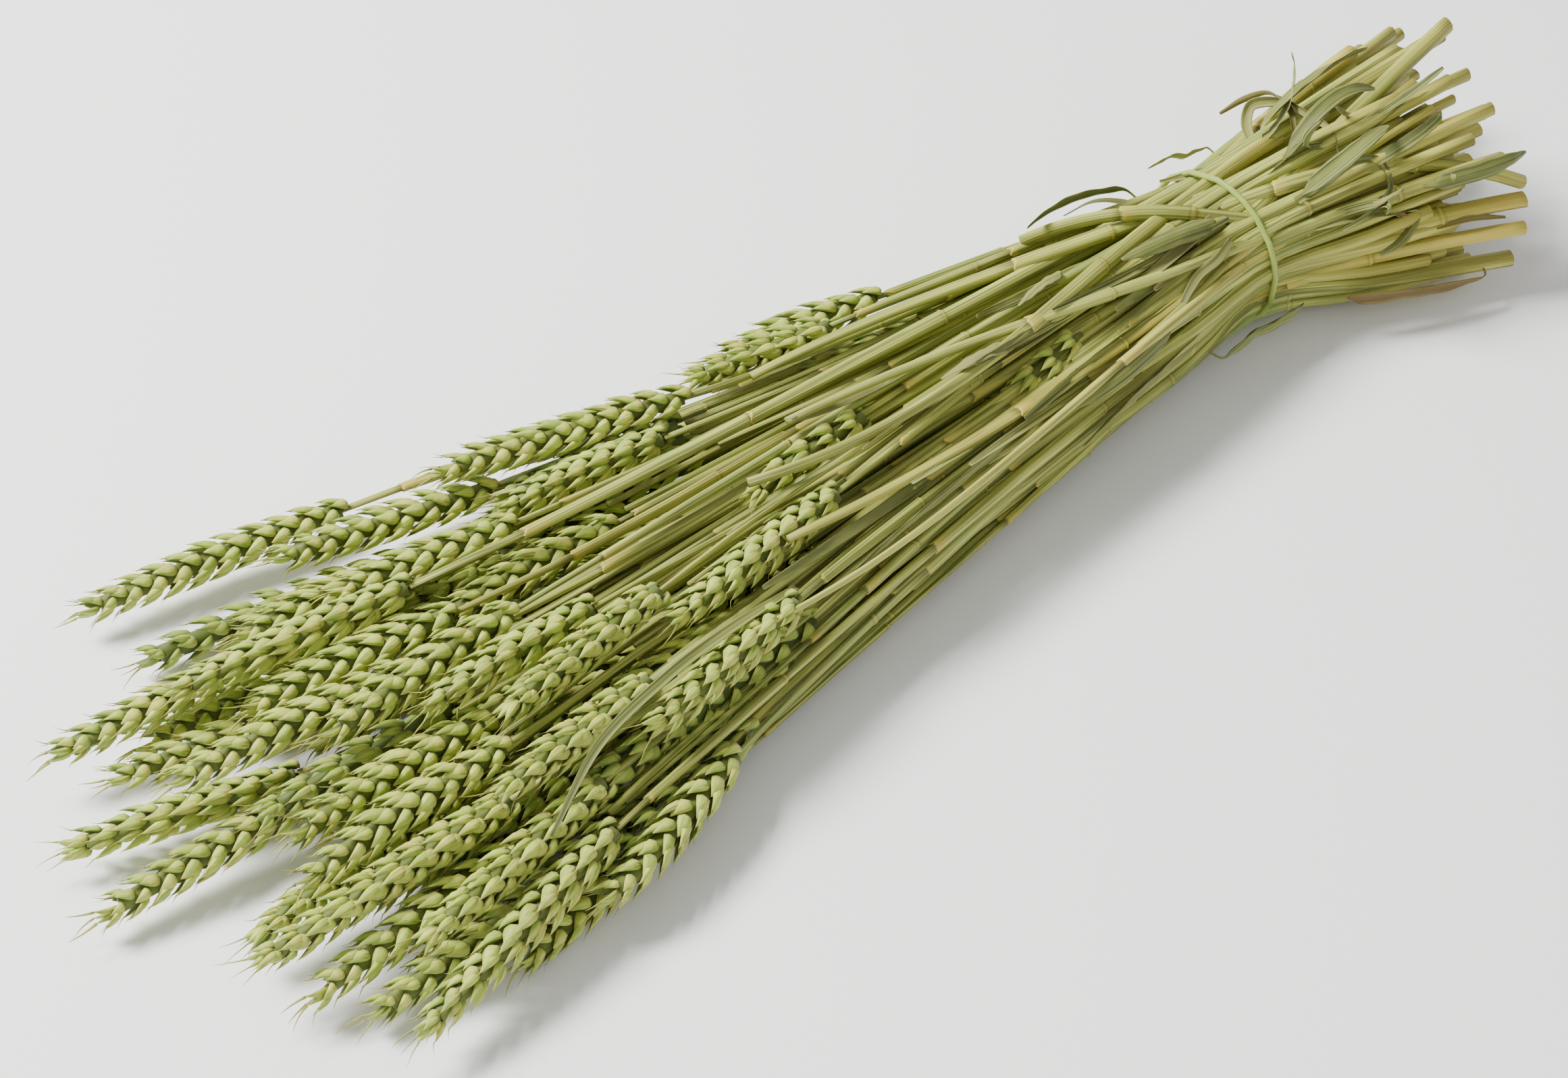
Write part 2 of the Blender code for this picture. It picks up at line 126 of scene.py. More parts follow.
# %% Straw rings, ear axis and leaf sections of every stalk
# A packed ear has a row of spikelets every centimetre, apart from 8 mm at its neck and its point,
# and its left rows lie half a row behind its right ones.
EAR_ROW = 0.010
EAR_ENDS = 8 * MM
FEWEST_ROWS = 3
ROWS_BEHIND = 0.5
AXIS_SHARES = (0.75, 0.5, 0.25)


def read_stalk(node):
    """The stalk's line as rows of x, y, z, with the straw's radius, the neck and the leaves."""
    points, groups = point_groups(node)
    rings = np.array([[*g.mean(0), np.linalg.norm(g - g.mean(0), axis=1).mean()]
                      for g in groups if is_even(g, 6)])
    neck, tip = rings[0, 0], points[0]
    length = neck - tip[0]
    rows = max(FEWEST_ROWS, round((length - EAR_ENDS) / EAR_ROW))
    row = (length - EAR_ENDS) / (rows + ROWS_BEHIND)
    axis = []
    for share in AXIS_SHARES:
        x = tip[0] + share * length
        inside = points[(points[:, 0] > x - row / 2) & (points[:, 0] <= x + row / 2)]
        axis.append([x, inside[:, 1].mean(), inside[:, 2].mean()])
    line = np.array([tip] + axis[::-1] + [ring[:3] for ring in rings])
    leaf_cuts = [g for g in groups if is_even(g, 4) and g[0, 0] > neck]
    return {"line": line, "rings": rings, "neck": neck, "tip": tip[0], "cut": rings[-1, 0],
            "leaf_cuts": leaf_cuts}


stalks = {name: read_stalk(name) for name in STALKS}
print("straw rings read:", sum(len(s["rings"]) for s in stalks.values()),
      "leaf sections read:", sum(len(s["leaf_cuts"]) for s in stalks.values()))


# %% A smooth line through the points
def smooth(knots, values, where):
    """Values on a smooth curve through the given values at the given knots."""
    slope = np.gradient(values, knots, axis=0)
    k = np.clip(np.searchsorted(knots, where) - 1, 0, len(knots) - 2)
    run = (knots[k + 1] - knots[k])[:, None]
    t = (where - knots[k])[:, None] / run
    return ((2 * t ** 3 - 3 * t ** 2 + 1) * values[k] + (t ** 3 - 2 * t ** 2 + t) * run * slope[k]
            + (3 * t ** 2 - 2 * t ** 3) * values[k + 1] + (t ** 3 - t ** 2) * run * slope[k + 1])


def smooth_line(points):
    """A function that gives places on a smooth curve through points listed along x."""
    def at(where):
        where = np.clip(np.atleast_1d(where), points[0, 0], points[-1, 0])
        return np.column_stack((where, smooth(points[:, 0], points[:, 1:3], where)))

    return at


for stalk in stalks.values():
    stalk["at"] = smooth_line(stalk["line"])


LOOK_AHEAD = 1 * MM


def frames_along(at, where):
    """Places on a line and, at each, the way towards the ear, a side way and an up way."""
    ahead = unit(at(where - LOOK_AHEAD) - at(where + LOOK_AHEAD))
    side = unit(np.cross(ahead, (0, 0, 1.0)))
    return at(where), ahead, side, np.cross(side, ahead)


# %% [markdown]
# ## Colours and finishes
# Dried wheat is matt, a little silky along the grain, and the dye takes unevenly: the scales are
# yellower at their edges and greener at their foot and tip, and the straws run from olive to straw
# yellow. Two attributes carry this, and painted shade besides. `look` holds for each point a tone,
# the amounts of yellow and green, and a third amount: painted shade on the chaff and the straw, and
# the brown of withering on a leaf. `grain` holds how far along and how far across the surface a
# point lies, in metres, so that fibres follow the plant however it bends.

# %% Helpers for materials
def linear(hex_colour):
    """An sRGB hex colour as the linear colour that a shader takes."""
    parts = [int(hex_colour[i:i + 2], 16) / 255 for i in (1, 3, 5)]
    return [c / 12.92 if c <= 0.04045 else ((c + 0.055) / 1.055) ** 2.4 for c in parts] + [1.0]


def add_node(tree, kind, settings=None, inputs=None, links=None):
    """Adds a shader node with its settings, input values and incoming links."""
    node = tree.nodes.new(kind)
    for name, value in (settings or {}).items():
        setattr(node, name, value)
    for name, value in (inputs or {}).items():
        node.inputs[name].default_value = value
    for name, source in (links or {}).items():
        tree.links.new(source, node.inputs[name])
    return node


# A dry plant reflects less than plastic or paint, so its specular level is below the default.
SOFT_SHINE = 0.35
# A Mix node's sockets for its factor, its two colours and its colour result.
FACTOR, FIRST_COLOUR, SECOND_COLOUR, MIXED = 0, 6, 7, 2


def plant_finish(name, roughness, sheen, streaks, base, layers, ridges):
    """A material for one part of the dried plant.

    Streaks are noises with cells of so many mm along and across the part, and a detail. Layers are
    colours over the base: what spreads each one, the values where it starts and is full, and the
    colour. Ridges name the streak that also raises the surface, and by how many mm.
    """
    finish = bpy.data.materials.new(name)
    finish.use_nodes = True
    tree = finish.node_tree
    shader = tree.nodes["Principled BSDF"]
    own = {"Roughness": roughness, "Sheen Weight": sheen, "Specular IOR Level": SOFT_SHINE}
    for socket, value in own.items():
        shader.inputs[socket].default_value = value
    look = add_node(tree, "ShaderNodeAttribute", {"attribute_name": "look"})
    grain = add_node(tree, "ShaderNodeAttribute", {"attribute_name": "grain"})
    parts = add_node(tree, "ShaderNodeSeparateColor", links={"Color": look.outputs["Color"]})
    spread_by = {"tone": parts.outputs[0], "yellow": parts.outputs[1], "shade": parts.outputs[2],
                 "green": look.outputs["Alpha"]}
    for streak, (along, across, detail) in streaks.items():
        cells = add_node(tree, "ShaderNodeVectorMath", {"operation": "MULTIPLY"},
                         {1: (1 / (along * MM), 1 / (across * MM), 1.0)}, {0: grain.outputs["Vector"]})
        noise = add_node(tree, "ShaderNodeTexNoise", inputs={"Scale": 1.0, "Detail": detail},
                         links={"Vector": cells.outputs[0]})
        spread_by[streak] = noise.outputs["Fac"]
    colour = None
    for by, start, full, over in layers:
        amount = add_node(tree, "ShaderNodeMapRange", inputs={"From Min": start, "From Max": full},
                          links={"Value": spread_by[by]})
        mix = add_node(tree, "ShaderNodeMix", {"data_type": "RGBA"},
                       {FIRST_COLOUR: linear(base), SECOND_COLOUR: linear(over)},
                       {FACTOR: amount.outputs["Result"]})
        if colour:
            tree.links.new(colour, mix.inputs[FIRST_COLOUR])
        colour = mix.outputs[MIXED]
    tree.links.new(colour, shader.inputs["Base Color"])
    bump = add_node(tree, "ShaderNodeBump", inputs={"Strength": 1.0, "Distance": ridges[1] * MM},
                    links={"Height": spread_by[ridges[0]]})
    tree.links.new(bump.outputs["Normal"], shader.inputs["Normal"])
    return finish


# %% Dyed wheat chaff: papery scales, dried and dyed, so matt with a faint silky sheen
# The veins of a scale are about 0.4 mm apart, and the dye's clouds are a few millimetres wide.
# The shade layer is painted shade, on the scales' feet and insides, the ear's stem and the ears in the
# gaps; those ears also get more green as painted shade.
chaff = plant_finish(
    "dyed_wheat_chaff", 0.60, 0.1,
    {"vein": (8.3, 0.43, 3.0), "cloud": (6.2, 3.8, 1.0)},
    "#86A034", (
        ("tone", 0, 1, "#B8CC4C"), ("cloud", 0.45, 0.75, "#C9C35E"), ("green", 0, 1, "#6F9238"),
        ("vein", 0.50, 0.70, "#637524"), ("yellow", 0, 1, "#D2C462"), ("shade", 0, 1, "#3E4612"),
    ), ("vein", 0.2))
print(chaff.name, "has", len(chaff.node_tree.nodes), "nodes")

# %% Dyed wheat straw: a stem with fine ridges and a thin wax, so a little smoother than the chaff
# The ridges are half a millimetre apart, and the dye runs along the stem in bands of 2 mm.
# The shade layer is painted shade: beside the nodes, inside the open cut and under a sheath's end.
straw = plant_finish(
    "dyed_wheat_straw", 0.52, 0.0,
    {"ridge": (100, 0.5, 3.0), "streak": (55, 2.0, 2.0), "patch": (33, 6.2, 2.0)},
    "#888C40", (
        ("tone", 0, 1, "#B6B85A"), ("green", 0, 1, "#7F9650"), ("patch", 0.48, 0.70, "#9CA04A"),
        ("streak", 0.50, 0.64, "#B6BC5C"), ("streak", 0.44, 0.34, "#6A6E34"),
        ("ridge", 0.47, 0.66, "#6D7438"), ("yellow", 0, 1, "#C2AE4C"), ("shade", 0, 1, "#2E280E"),
    ), ("ridge", 0.4))
print(straw.name, "has", len(straw.node_tree.nodes), "nodes")

# %% Dry leaf blade: thin and ribbed, greyer than the straw, and brown where it withered
# The ribs are 0.7 mm apart.
blade = plant_finish(
    "dry_wheat_leaf", 0.62, 0.05,
    {"rib": (125, 0.7, 3.0), "patch": (17, 5.0, 2.0)},
    "#646B2C", (
        ("tone", 0, 1, "#8E944A"), ("patch", 0.50, 0.72, "#7C8240"), ("rib", 0.44, 0.62, "#474D22"),
        ("yellow", 0, 1, "#A09C5C"), ("shade", 0, 1, "#6E4A26"),
    ), ("rib", 0.3))
print(blade.name, "has", len(blade.node_tree.nodes), "nodes")

# %% Elastic band: pale green, smooth and slightly shiny
def plain_finish(name, colour, roughness):
    """A material of one colour."""
    finish = bpy.data.materials.new(name)
    finish.use_nodes = True
    own = {"Base Color": linear(colour), "Roughness": roughness}
    for socket, value in own.items():
        finish.node_tree.nodes["Principled BSDF"].inputs[socket].default_value = value
    return finish


elastic = plain_finish("pale_green_elastic", "#94A64A", 0.45)
print("finishes:", [m.name for m in (chaff, straw, blade, elastic)])

# %% [markdown]
# ## Small shapes to copy
# An ear has about a hundred scales, and all of them are a few shapes that grew many times. So one
# scale and one beard are modelled, and the ears are made of turned and stretched copies. Nothing
# is instanced, because each ear is one mesh in the end, which a part library can use directly. An
# array along a curve could place them too, but its copies would all be alike.


# %% A closed tube to shape, and the numbers of its rings
def tube(rings, sides):
    """A closed tube, and for each of its points the ring that it is in and its angle."""
    mesh = bmesh.new()
    bmesh.ops.create_cone(mesh, cap_ends=True, segments=sides, radius1=1, radius2=1, depth=1)
    long_edges = [e for e in mesh.edges if abs(e.verts[0].co.z - e.verts[1].co.z) > 0.5]
    bmesh.ops.subdivide_edges(mesh, edges=long_edges, cuts=rings - 2, use_grid_fill=True)
    bmesh.ops.recalc_face_normals(mesh, faces=mesh.faces)
    made = bpy.data.meshes.new("tube")
    mesh.to_mesh(made)
    mesh.free()
    points = points_of(made)
    ring = np.rint((points[:, 2] + 0.5) * (rings - 1)).astype(int)
    return made, ring, np.arctan2(points[:, 1], points[:, 0])


# %% One scale: a boat with a keel, 1 long and 1 wide, pointing along x with its back up
SCALE_AT = np.array([0.0, 0.07, 0.26, 0.52, 0.80, 1.0])
SCALE_WIDTH = np.array([0.34, 0.78, 1.0, 0.86, 0.42, 0.05])
SCALE_LIFT = np.array([0.0, 0.06, 0.14, 0.13, 0.02, -0.10])
SCALE_SIDES = 7
KEEL, KEEL_SHARPNESS, INNER_DEPTH = 0.25, 6, 0.35
# A scale is yellower at its tip, keel and edges, has painted shade at its foot and inside, and
# is greener at its foot and tip.
YELLOW_TIP, YELLOW_KEEL, YELLOW_EDGE = 0.7, 0.3, 0.45
FOOT_SHADE, INNER_SHADE = ((0, 0.07, 0.3), (0.8, 0.3, 0.0)), 0.6
GREEN_ENDS = ((0, 0.1, 0.5, 1), (0.6, 0.0, 0.1, 0.9))
# The tip starts here along the scale. The keel, the edges and the inside are told apart by how
# far a point faces outwards, from 1 on the back to -1 inside.
TIP_FROM, KEEL_FROM, EDGE_WITHIN, INNER_BELOW = 0.9, 0.95, 0.4, -0.5
# The pattern on a small shape is laid out as if it were 10 mm long and 8 mm round.
GRAIN_LENGTH, GRAIN_HALF_ROUND = 10, 4


def make_scale(name, sides):
    """A closed scale with a round, keeled back and a flatter inner face."""
    made, ring, angle = tube(len(SCALE_AT), sides)
    back = np.cos(angle)
    keel = 1 + KEEL * np.maximum(back, 0) ** KEEL_SHARPNESS
    height = np.where(back > 0, back * keel, back * INNER_DEPTH)
    points = np.column_stack((SCALE_AT[ring], SCALE_WIDTH[ring] * np.sin(angle) / 2,
                              SCALE_LIFT[ring] + SCALE_WIDTH[ring] * height / 2))
    made.vertices.foreach_set("co", points.ravel())
    made.name = name
    tip, spine, edge = SCALE_AT[ring] > TIP_FROM, back > KEEL_FROM, np.abs(back) < EDGE_WITHIN
    yellow = YELLOW_TIP * tip + YELLOW_KEEL * spine + YELLOW_EDGE * edge
    # Painted shade on the foot of the scale and on its inside face.
    shade = np.interp(SCALE_AT, *FOOT_SHADE)[ring] + INNER_SHADE * (back < INNER_BELOW)
    green = np.interp(SCALE_AT, *GREEN_ENDS)[ring]
    look = np.column_stack((np.zeros(len(ring)), yellow, np.clip(shade, 0, 1), green))
    grain = np.column_stack((SCALE_AT[ring] * GRAIN_LENGTH * MM,
                             (angle / math.pi + 1) * GRAIN_HALF_ROUND * MM, np.zeros(len(ring))))
    return made, look, grain


scale = make_scale("scale", SCALE_SIDES)
print("one scale has", len(scale[0].vertices), "points")

# %% One beard: a thin tapering bristle that bows outwards
BEARD_RINGS, BEARD_SIDES = 5, 3
BEARD_RADIUS, BEARD_TAPER = 0.055, 0.85
BEARD_LOOK = (0.0, 0.6, 0.0, 0.3)
BOWS = (0.10, 0.30, -0.12)


def make_beard(bow):
    """A three-sided bristle, 1 long, that rises by the bow at its end."""
    made, ring, angle = tube(BEARD_RINGS, BEARD_SIDES)
    along = ring / (BEARD_RINGS - 1)
    radius = BEARD_RADIUS * (1 - BEARD_TAPER * along)
    points = np.column_stack((along, np.sin(angle) * radius, np.cos(angle) * radius + bow * along ** 2))
    made.vertices.foreach_set("co", points.ravel())
    look = np.tile(BEARD_LOOK, (len(ring), 1))
    grain = np.column_stack((along * GRAIN_LENGTH * MM, angle * MM, np.zeros(len(ring))))
    return made, look, grain


beards = [make_beard(bow) for bow in BOWS]
print(len(beards), "beards of", len(beards[0][0].vertices), "points")

# %% The stem inside an ear, along z and 1 long
STEM_RINGS, STEM_SIDES = 16, 6
# The stem lies deep among the spikelets, and its look gives it painted shade.
STEM_SHADED_LOOK = (0.0, 0.0, 0.7, 0.3)
stem, ring, _ = tube(STEM_RINGS, STEM_SIDES)
core = (stem, np.tile(STEM_SHADED_LOOK, (len(ring), 1)), np.zeros((len(ring), 3)))
print("the stem has", len(stem.vertices), "points")

# %% Joining copies in one mesh
# Each copy takes its pattern from another layer of the noise, so that no two scales are alike.
NEXT_LAYER = 0.37


def stamp(copies):
    """Joins placed copies of small shapes. A copy is a shape, its matrix and its tone."""
    whole, looks, grains = bmesh.new(), [], []
    for number, ((mesh, look, grain), matrix, tone) in enumerate(copies):
        placed = mesh.copy()
        placed.transform(matrix)
        whole.from_mesh(placed)
        bpy.data.meshes.remove(placed)
        looks.append(look + (tone, 0, 0, 0))
        grains.append(grain + (0, 0, number * NEXT_LAYER))
    bmesh.ops.recalc_face_normals(whole, faces=whole.faces)
    made = bpy.data.meshes.new("copies")
    whole.to_mesh(made)
    whole.free()
    return made, np.concatenate(looks), np.concatenate(grains)


# %% [markdown]
# ## An ear
# On the real ear, flat spikelets sit left and right by turns on a zigzag stem, a new one every
# four or five millimetres. Each spikelet is a fan: two keeled outer glumes, and between them two
# or three fuller scales that each end in a short beard. Seen along the fans, the ear looks like a
# plait; seen from the side of a rank, it looks like a stack of little fans.

# %% A spikelet
# The foot along, outwards and sideways; the lean outwards and sideways; the turn of the back
# towards the side, in degrees; then the length, the width and the depth. Lengths in mm.
FAN = (
    (0.0, 0.5, 1.9, 0.34, 0.28, 62, 8.0, 5.3, 4.1), (0.0, 0.5, -1.9, 0.34, -0.28, -62, 8.0, 5.3, 4.1),
    (1.0, 1.5, 1.5, 0.42, 0.26, 38, 10.8, 3.9, 3.4),
    (1.0, 1.5, -1.5, 0.42, -0.26, -38, 10.8, 3.9, 3.4), (2.2, 2.3, 0.0, 0.48, 0.0, 0, 10.0, 3.4, 3.1),
)
# How much the scales differ: in size, in the leans sideways and outwards, and in turn, in degrees.
SIZE_SPREAD, LEAN_ACROSS_SPREAD, LEAN_OUT_SPREAD, TURN_SPREAD = (0.92, 1.08), 0.05, 0.06, 8
# A short beard's length in mm, every beard's width, and its foot ahead and below on its scale.
SHORT_BEARD, BEARD_WIDTH = (1.2, 3.6), 4 * MM
FOOT_AHEAD, FOOT_BELOW = 0.95, 0.04


def spikelet(start, rank, size, draw, bearded):
    """The placed copies of one spikelet; rank is 1 or -1, for the side that it grows on."""
    placed = []
    flip = Matrix.Diagonal((1, rank, rank, 1))
    for foot, out, across, lean_out, lean_across, roll, length, width, depth in FAN:
        size_here = size * MM * draw.uniform(*SIZE_SPREAD)
        lean_across += draw.gauss(0, LEAN_ACROSS_SPREAD)
        lean_out += draw.gauss(0, LEAN_OUT_SPREAD)
        ahead = Vector((1, lean_across, lean_out)).normalized()
        roll = math.radians(roll + draw.gauss(0, TURN_SPREAD))
        side = Vector((0, math.cos(roll), -math.sin(roll)))
        up = ahead.cross(side).normalized()
        side = up.cross(ahead)
        turn = Matrix((ahead, side, up)).transposed().to_4x4()
        place = Vector((start + foot * size * MM, across * size * MM, out * size * MM))
        stretch = Matrix.Diagonal((length * size_here, width * size_here, depth * size_here, 1))
        tone = draw.uniform(0.0, 1.0)
        placed.append((scale, flip @ Matrix.Translation(place) @ turn @ stretch, tone))
        if foot > 0 and bearded > 0:
            tip = place + (ahead * FOOT_AHEAD - up * FOOT_BELOW) * length * size_here
            beard = draw.uniform(*SHORT_BEARD) * MM * bearded
            bristle = Matrix.Translation(tip) @ turn @ Matrix.Diagonal((beard, BEARD_WIDTH, beard, 1))
            placed.append((beards[draw.randrange(len(beards))], flip @ bristle, tone))
    return placed


# %% The tip of an ear: three scales side by side, each with a long beard
TIP_ROOM = 11 * MM
TIP_TURNS, TIP_LEAN = (-0.35, 0.0, 0.35), 0.2
TIP_SCALE = (9 * MM, 3.4 * MM, 2.8 * MM, 1)
LONG_BEARD, LONG_BEARD_AT, LONG_BEARD_TONE = (6, 10), 8.4 * MM, 0.6


def ear_tip(length, draw):
    """The placed copies at the tip of an ear of the given length."""
    placed = []
    top = Matrix.Translation((length - TIP_ROOM, 0, 0))
    for turn in TIP_TURNS:
        dip = Matrix.Rotation(draw.uniform(-TIP_LEAN, TIP_LEAN), 4, "Y")
        lean = Matrix.Rotation(turn, 4, "Z") @ dip
        placed.append((scale, top @ lean @ Matrix.Diagonal(TIP_SCALE), draw.random()))
        beard = draw.uniform(*LONG_BEARD) * MM
        stretch = Matrix.Diagonal((beard, BEARD_WIDTH, beard, 1))
        out = Matrix.Translation((LONG_BEARD_AT, 0, 0)) @ stretch
        placed.append((beards[draw.randrange(len(beards))], top @ lean @ out, LONG_BEARD_TONE))
    return placed


# %% A straight ear along x
# Spikelets start 1 mm up the ear, and the last one starts 12 mm below its end. They are smaller
# at the foot and at the tip, and their beards grow longer towards the tip.
SPIKELET_STEP = 4.2 * MM
FIRST_AT, COUNT_ROOM, LAST_ROOM = 1 * MM, 12 * MM, 13 * MM
FEWEST_SPIKELETS = 6
SMALLEST, SWELL, SWELL_POWER = 0.70, 0.34, 0.8
SWELL_SPAN, SWELL_START = 0.9, 0.12
LEAST_BEARDED = 0.5
STEM_BACK, STEM_WIDE, STEM_DEEP, STEM_SHORTER, STEM_TONE = 4 * MM, 3.0 * MM, 2.4 * MM, 15 * MM, 0.2


def straight_ear(length, seed, step=SPIKELET_STEP):
    """An ear of the given length along x: its mesh and attributes."""
    draw = random.Random(seed)
    count = max(FEWEST_SPIKELETS, round((length - COUNT_ROOM) / step))
    placed = []
    for number in range(count):
        share = number / (count - 1)
        swollen = math.sin(math.pi * min(1, share * SWELL_SPAN + SWELL_START)) ** SWELL_POWER
        start = FIRST_AT + share * (length - LAST_ROOM)
        rank = 1 if number % 2 else -1
        placed += spikelet(start, rank, SMALLEST + SWELL * swollen, draw, LEAST_BEARDED + share)
    middle = Matrix.Translation((length / 2 - STEM_BACK, 0, 0)) @ Matrix.Rotation(math.pi / 2, 4, "Y")
    stretch = Matrix.Diagonal((STEM_WIDE, STEM_DEEP, length - STEM_SHORTER, 1))
    placed.append((core, middle @ stretch, STEM_TONE))
    return stamp(placed + ear_tip(length, draw))


# %% Bending an ear onto its stalk
TIP_MARGIN = 1 * MM


def bend_ear(ear, stalk, spin):
    """Moves a straight ear's points onto the ear's axis on its stalk."""
    mesh, look, grain = ear
    points = points_of(mesh)
    neck, tip = stalk["neck"], stalk["tip"]
    length = np.linalg.norm(stalk["at"](neck) - stalk["at"](tip))
    where = neck - points[:, 0] / length * (neck - tip)
    inside = np.clip(where, tip + TIP_MARGIN, neck)
    places, ahead, side, up = frames_along(stalk["at"], inside)
    places += ahead * ((inside - where) / (neck - tip) * length)[:, None]
    y = points[:, 1] * math.cos(spin) - points[:, 2] * math.sin(spin)
    z = points[:, 1] * math.sin(spin) + points[:, 2] * math.cos(spin)
    bent = places + side * y[:, None] + up * z[:, None]
    mesh.vertices.foreach_set("co", bent.ravel())
    mesh.flip_normals()
    return mesh, look, grain


# %% [markdown]
# ## A straw
# A wheat straw is a hollow pipe with a solid knot, the node, every ten centimetres or so. The
# foot of a leaf, the sheath, wraps the pipe above each node and ends in a loose edge. So the tube
# has extra rings at the nodes and at the sheath's end, and at the cut it turns back into itself,
# which leaves the open end that shows at the butt. A curve with a bevel would be quicker to make,
# but it would have no torn sheath ends and no open end.

# %% Straw with nodes, sheath and an open end
HOLLOW = 9 * MM
KNOT = np.array([-1.7, -0.9, -0.4, 0.4, 0.9, 1.7]) * MM
SHEATH_END = np.array([-0.7, -0.1, 0.1, 0.5]) * MM
PLAIN_RINGS = 26
NODE_SPANS = ((0.06, 0.26), (0.34, 0.55), (0.64, 0.82))
SHEATH_SPANS = ((0.15, 0.24), (0.12, 0.2))
RIM = 0.4 * MM


def nodes_and_sheaths(cut, reach, draw, plain):
    """Where the nodes and the sheaths' ends are along x; a plain straw has one of each."""
    knots = np.array([cut - reach * draw.uniform(*span) for span in NODE_SPANS])[draw.randrange(2):]
    knots = knots[:1] if plain else knots
    shares = np.array([draw.uniform(*span) for span in SHEATH_SPANS])
    return knots, knots[:2] - reach * shares[:len(knots)]


def straw_rows(cut, neck, knots, sheaths):
    """Places of the tube's rings along x, first the inner ones at the cut."""
    plain = cut + (neck - cut) * np.linspace(0, 1, PLAIN_RINGS)
    extra = [knot + KNOT for knot in knots] + [end + SHEATH_END for end in sheaths]
    outer = np.sort(np.clip(np.concatenate([plain] + extra), neck, cut))[::-1]
    return np.concatenate(([cut - HOLLOW, cut - RIM, cut], outer))


# %% How a straw is coloured
# The yellow and the green of a straw are drawn as a mean and a spread. The cut end is bleached.
# Painted shade darkens the crease beside each node and the inside of the open cut, and a painted
# shadow lies under a sheath's end.
YELLOW, GREEN, MOST_GREEN = (-0.15, 0.35), (0.1, 0.35), 0.8
BLEACH, BLEACH_FADE = 0.35, 5
LESS_YELLOW_ABOVE, YELLOW_NODE, YELLOW_SHEATH_END, MOST_YELLOW = 0.7, 0.4, 0.5, 0.9
NODE_CREASE_AT, NODE_CREASE_HALF, NODE_CREASE_SHADE = 1.1 * MM, 0.4 * MM, 0.45
UNDER_AT, UNDER_HALF, UNDER_SHADE = 0.7 * MM, 0.3 * MM, 0.6
CUT_SHADES = (1.0, 0.6, 0.0)
STRAW_HALF_ROUND, LAYERS = 6, 9


def straw_look(rows, ring, angle, along, far, bulge, edge, sheaths, ripe, draw):
    """The two attributes of a straw's points."""
    tone, yellow = draw.random(), max(0.0, draw.gauss(*YELLOW)) + ripe
    # Painted shade in the crease beside each node, and a painted shadow just under a sheath's end.
    node_crease_shade = np.exp(-((far - NODE_CREASE_AT) / NODE_CREASE_HALF) ** 2)
    under = np.abs(rows[:, None] - sheaths + UNDER_AT).min(1) < UNDER_HALF
    shade = NODE_CREASE_SHADE * node_crease_shade + UNDER_SHADE * under
    # Painted shade inside the open cut, darkest deepest in.
    shade[:len(CUT_SHADES)] = CUT_SHADES
    bleached = BLEACH * np.maximum(1 - BLEACH_FADE * along, 0)
    faded = yellow * (1 - LESS_YELLOW_ABOVE * along)
    fresh = np.clip(faded + bleached + YELLOW_NODE * bulge + YELLOW_SHEATH_END * edge, 0, MOST_YELLOW)
    green = np.full(len(ring), min(max(0.0, draw.gauss(*GREEN)), MOST_GREEN))
    look = np.column_stack((np.full(len(ring), tone), fresh[ring], shade[ring], green))
    layer = np.full(len(ring), draw.random() * LAYERS)
    return look, np.column_stack((rows[ring], (angle / math.pi + 1) * STRAW_HALF_ROUND * MM, layer))


# %% How a straw is shaped
# The cut has an inner and an outer rim. A straw is a little flattened and has three faint ridges,
# and a sheath's end is torn.
TAPER = 1.3
KNOT_HALF, KNOT_BULGE, SHEATH_THICK = 0.8 * MM, 0.12, 0.45 * MM
CUT_RADII = np.array([0.60, 0.66, 0.88])
FLATTENED, WIDENED, RIDGED = (0.62, 0.95), 0.5, 0.06
EDGE_AT, EDGE_HALF = 0.3 * MM, 0.45 * MM
TEARS = (0.8, 0.5)


def make_straw(at, cut, neck, thick, thin, draw, sides=10, ripe=0.0, plain=False):
    """One straw from its open cut end to the neck: its mesh and attributes."""
    reach = cut - neck
    knots, sheaths = nodes_and_sheaths(cut, reach, draw, plain)
    rows = straw_rows(cut, neck, knots, sheaths)
    made, ring, angle = tube(len(rows), sides)
    along = np.clip((cut - rows) / reach, 0, 1)
    far = np.abs(rows[:, None] - knots).min(1)
    bulge = np.exp(-(far / KNOT_HALF) ** 4)
    wrapped = sum(((rows < knot) & (rows > end)).astype(float) for knot, end in zip(knots, sheaths))
    radius = thick + (thin - thick) * along ** TAPER
    radius = radius * (1 + KNOT_BULGE * bulge) + SHEATH_THICK * wrapped
    radius[:len(CUT_RADII)] = thick * CUT_RADII
    places, ahead, side, up = frames_along(at, rows)
    flat, lean = draw.uniform(*FLATTENED), draw.uniform(0, math.pi)
    ridged = 1 + RIDGED * np.cos(3 * angle + lean) * (1 - bulge[ring])
    wide = 1 + (1 - flat) * WIDENED
    round_it, through = np.cos(angle) * wide, np.sin(angle) * flat
    across = (round_it * math.cos(lean) - through * math.sin(lean)) * radius[ring] * ridged
    above = (round_it * math.sin(lean) + through * math.cos(lean)) * radius[ring] * ridged
    edge = np.abs(rows[:, None] - sheaths - EDGE_AT).min(1) < EDGE_HALF
    tear = TEARS[0] * np.sin(2 * angle + lean * 5) + TEARS[1] * np.cos(3 * angle)
    ragged = edge[ring] * tear * MM
    points = (places[ring] + side[ring] * across[:, None] + up[ring] * above[:, None]
              + ahead[ring] * ragged[:, None])
    made.vertices.foreach_set("co", points.ravel())
    return made, *straw_look(rows, ring, angle, along, far, bulge, edge, sheaths, ripe, draw)


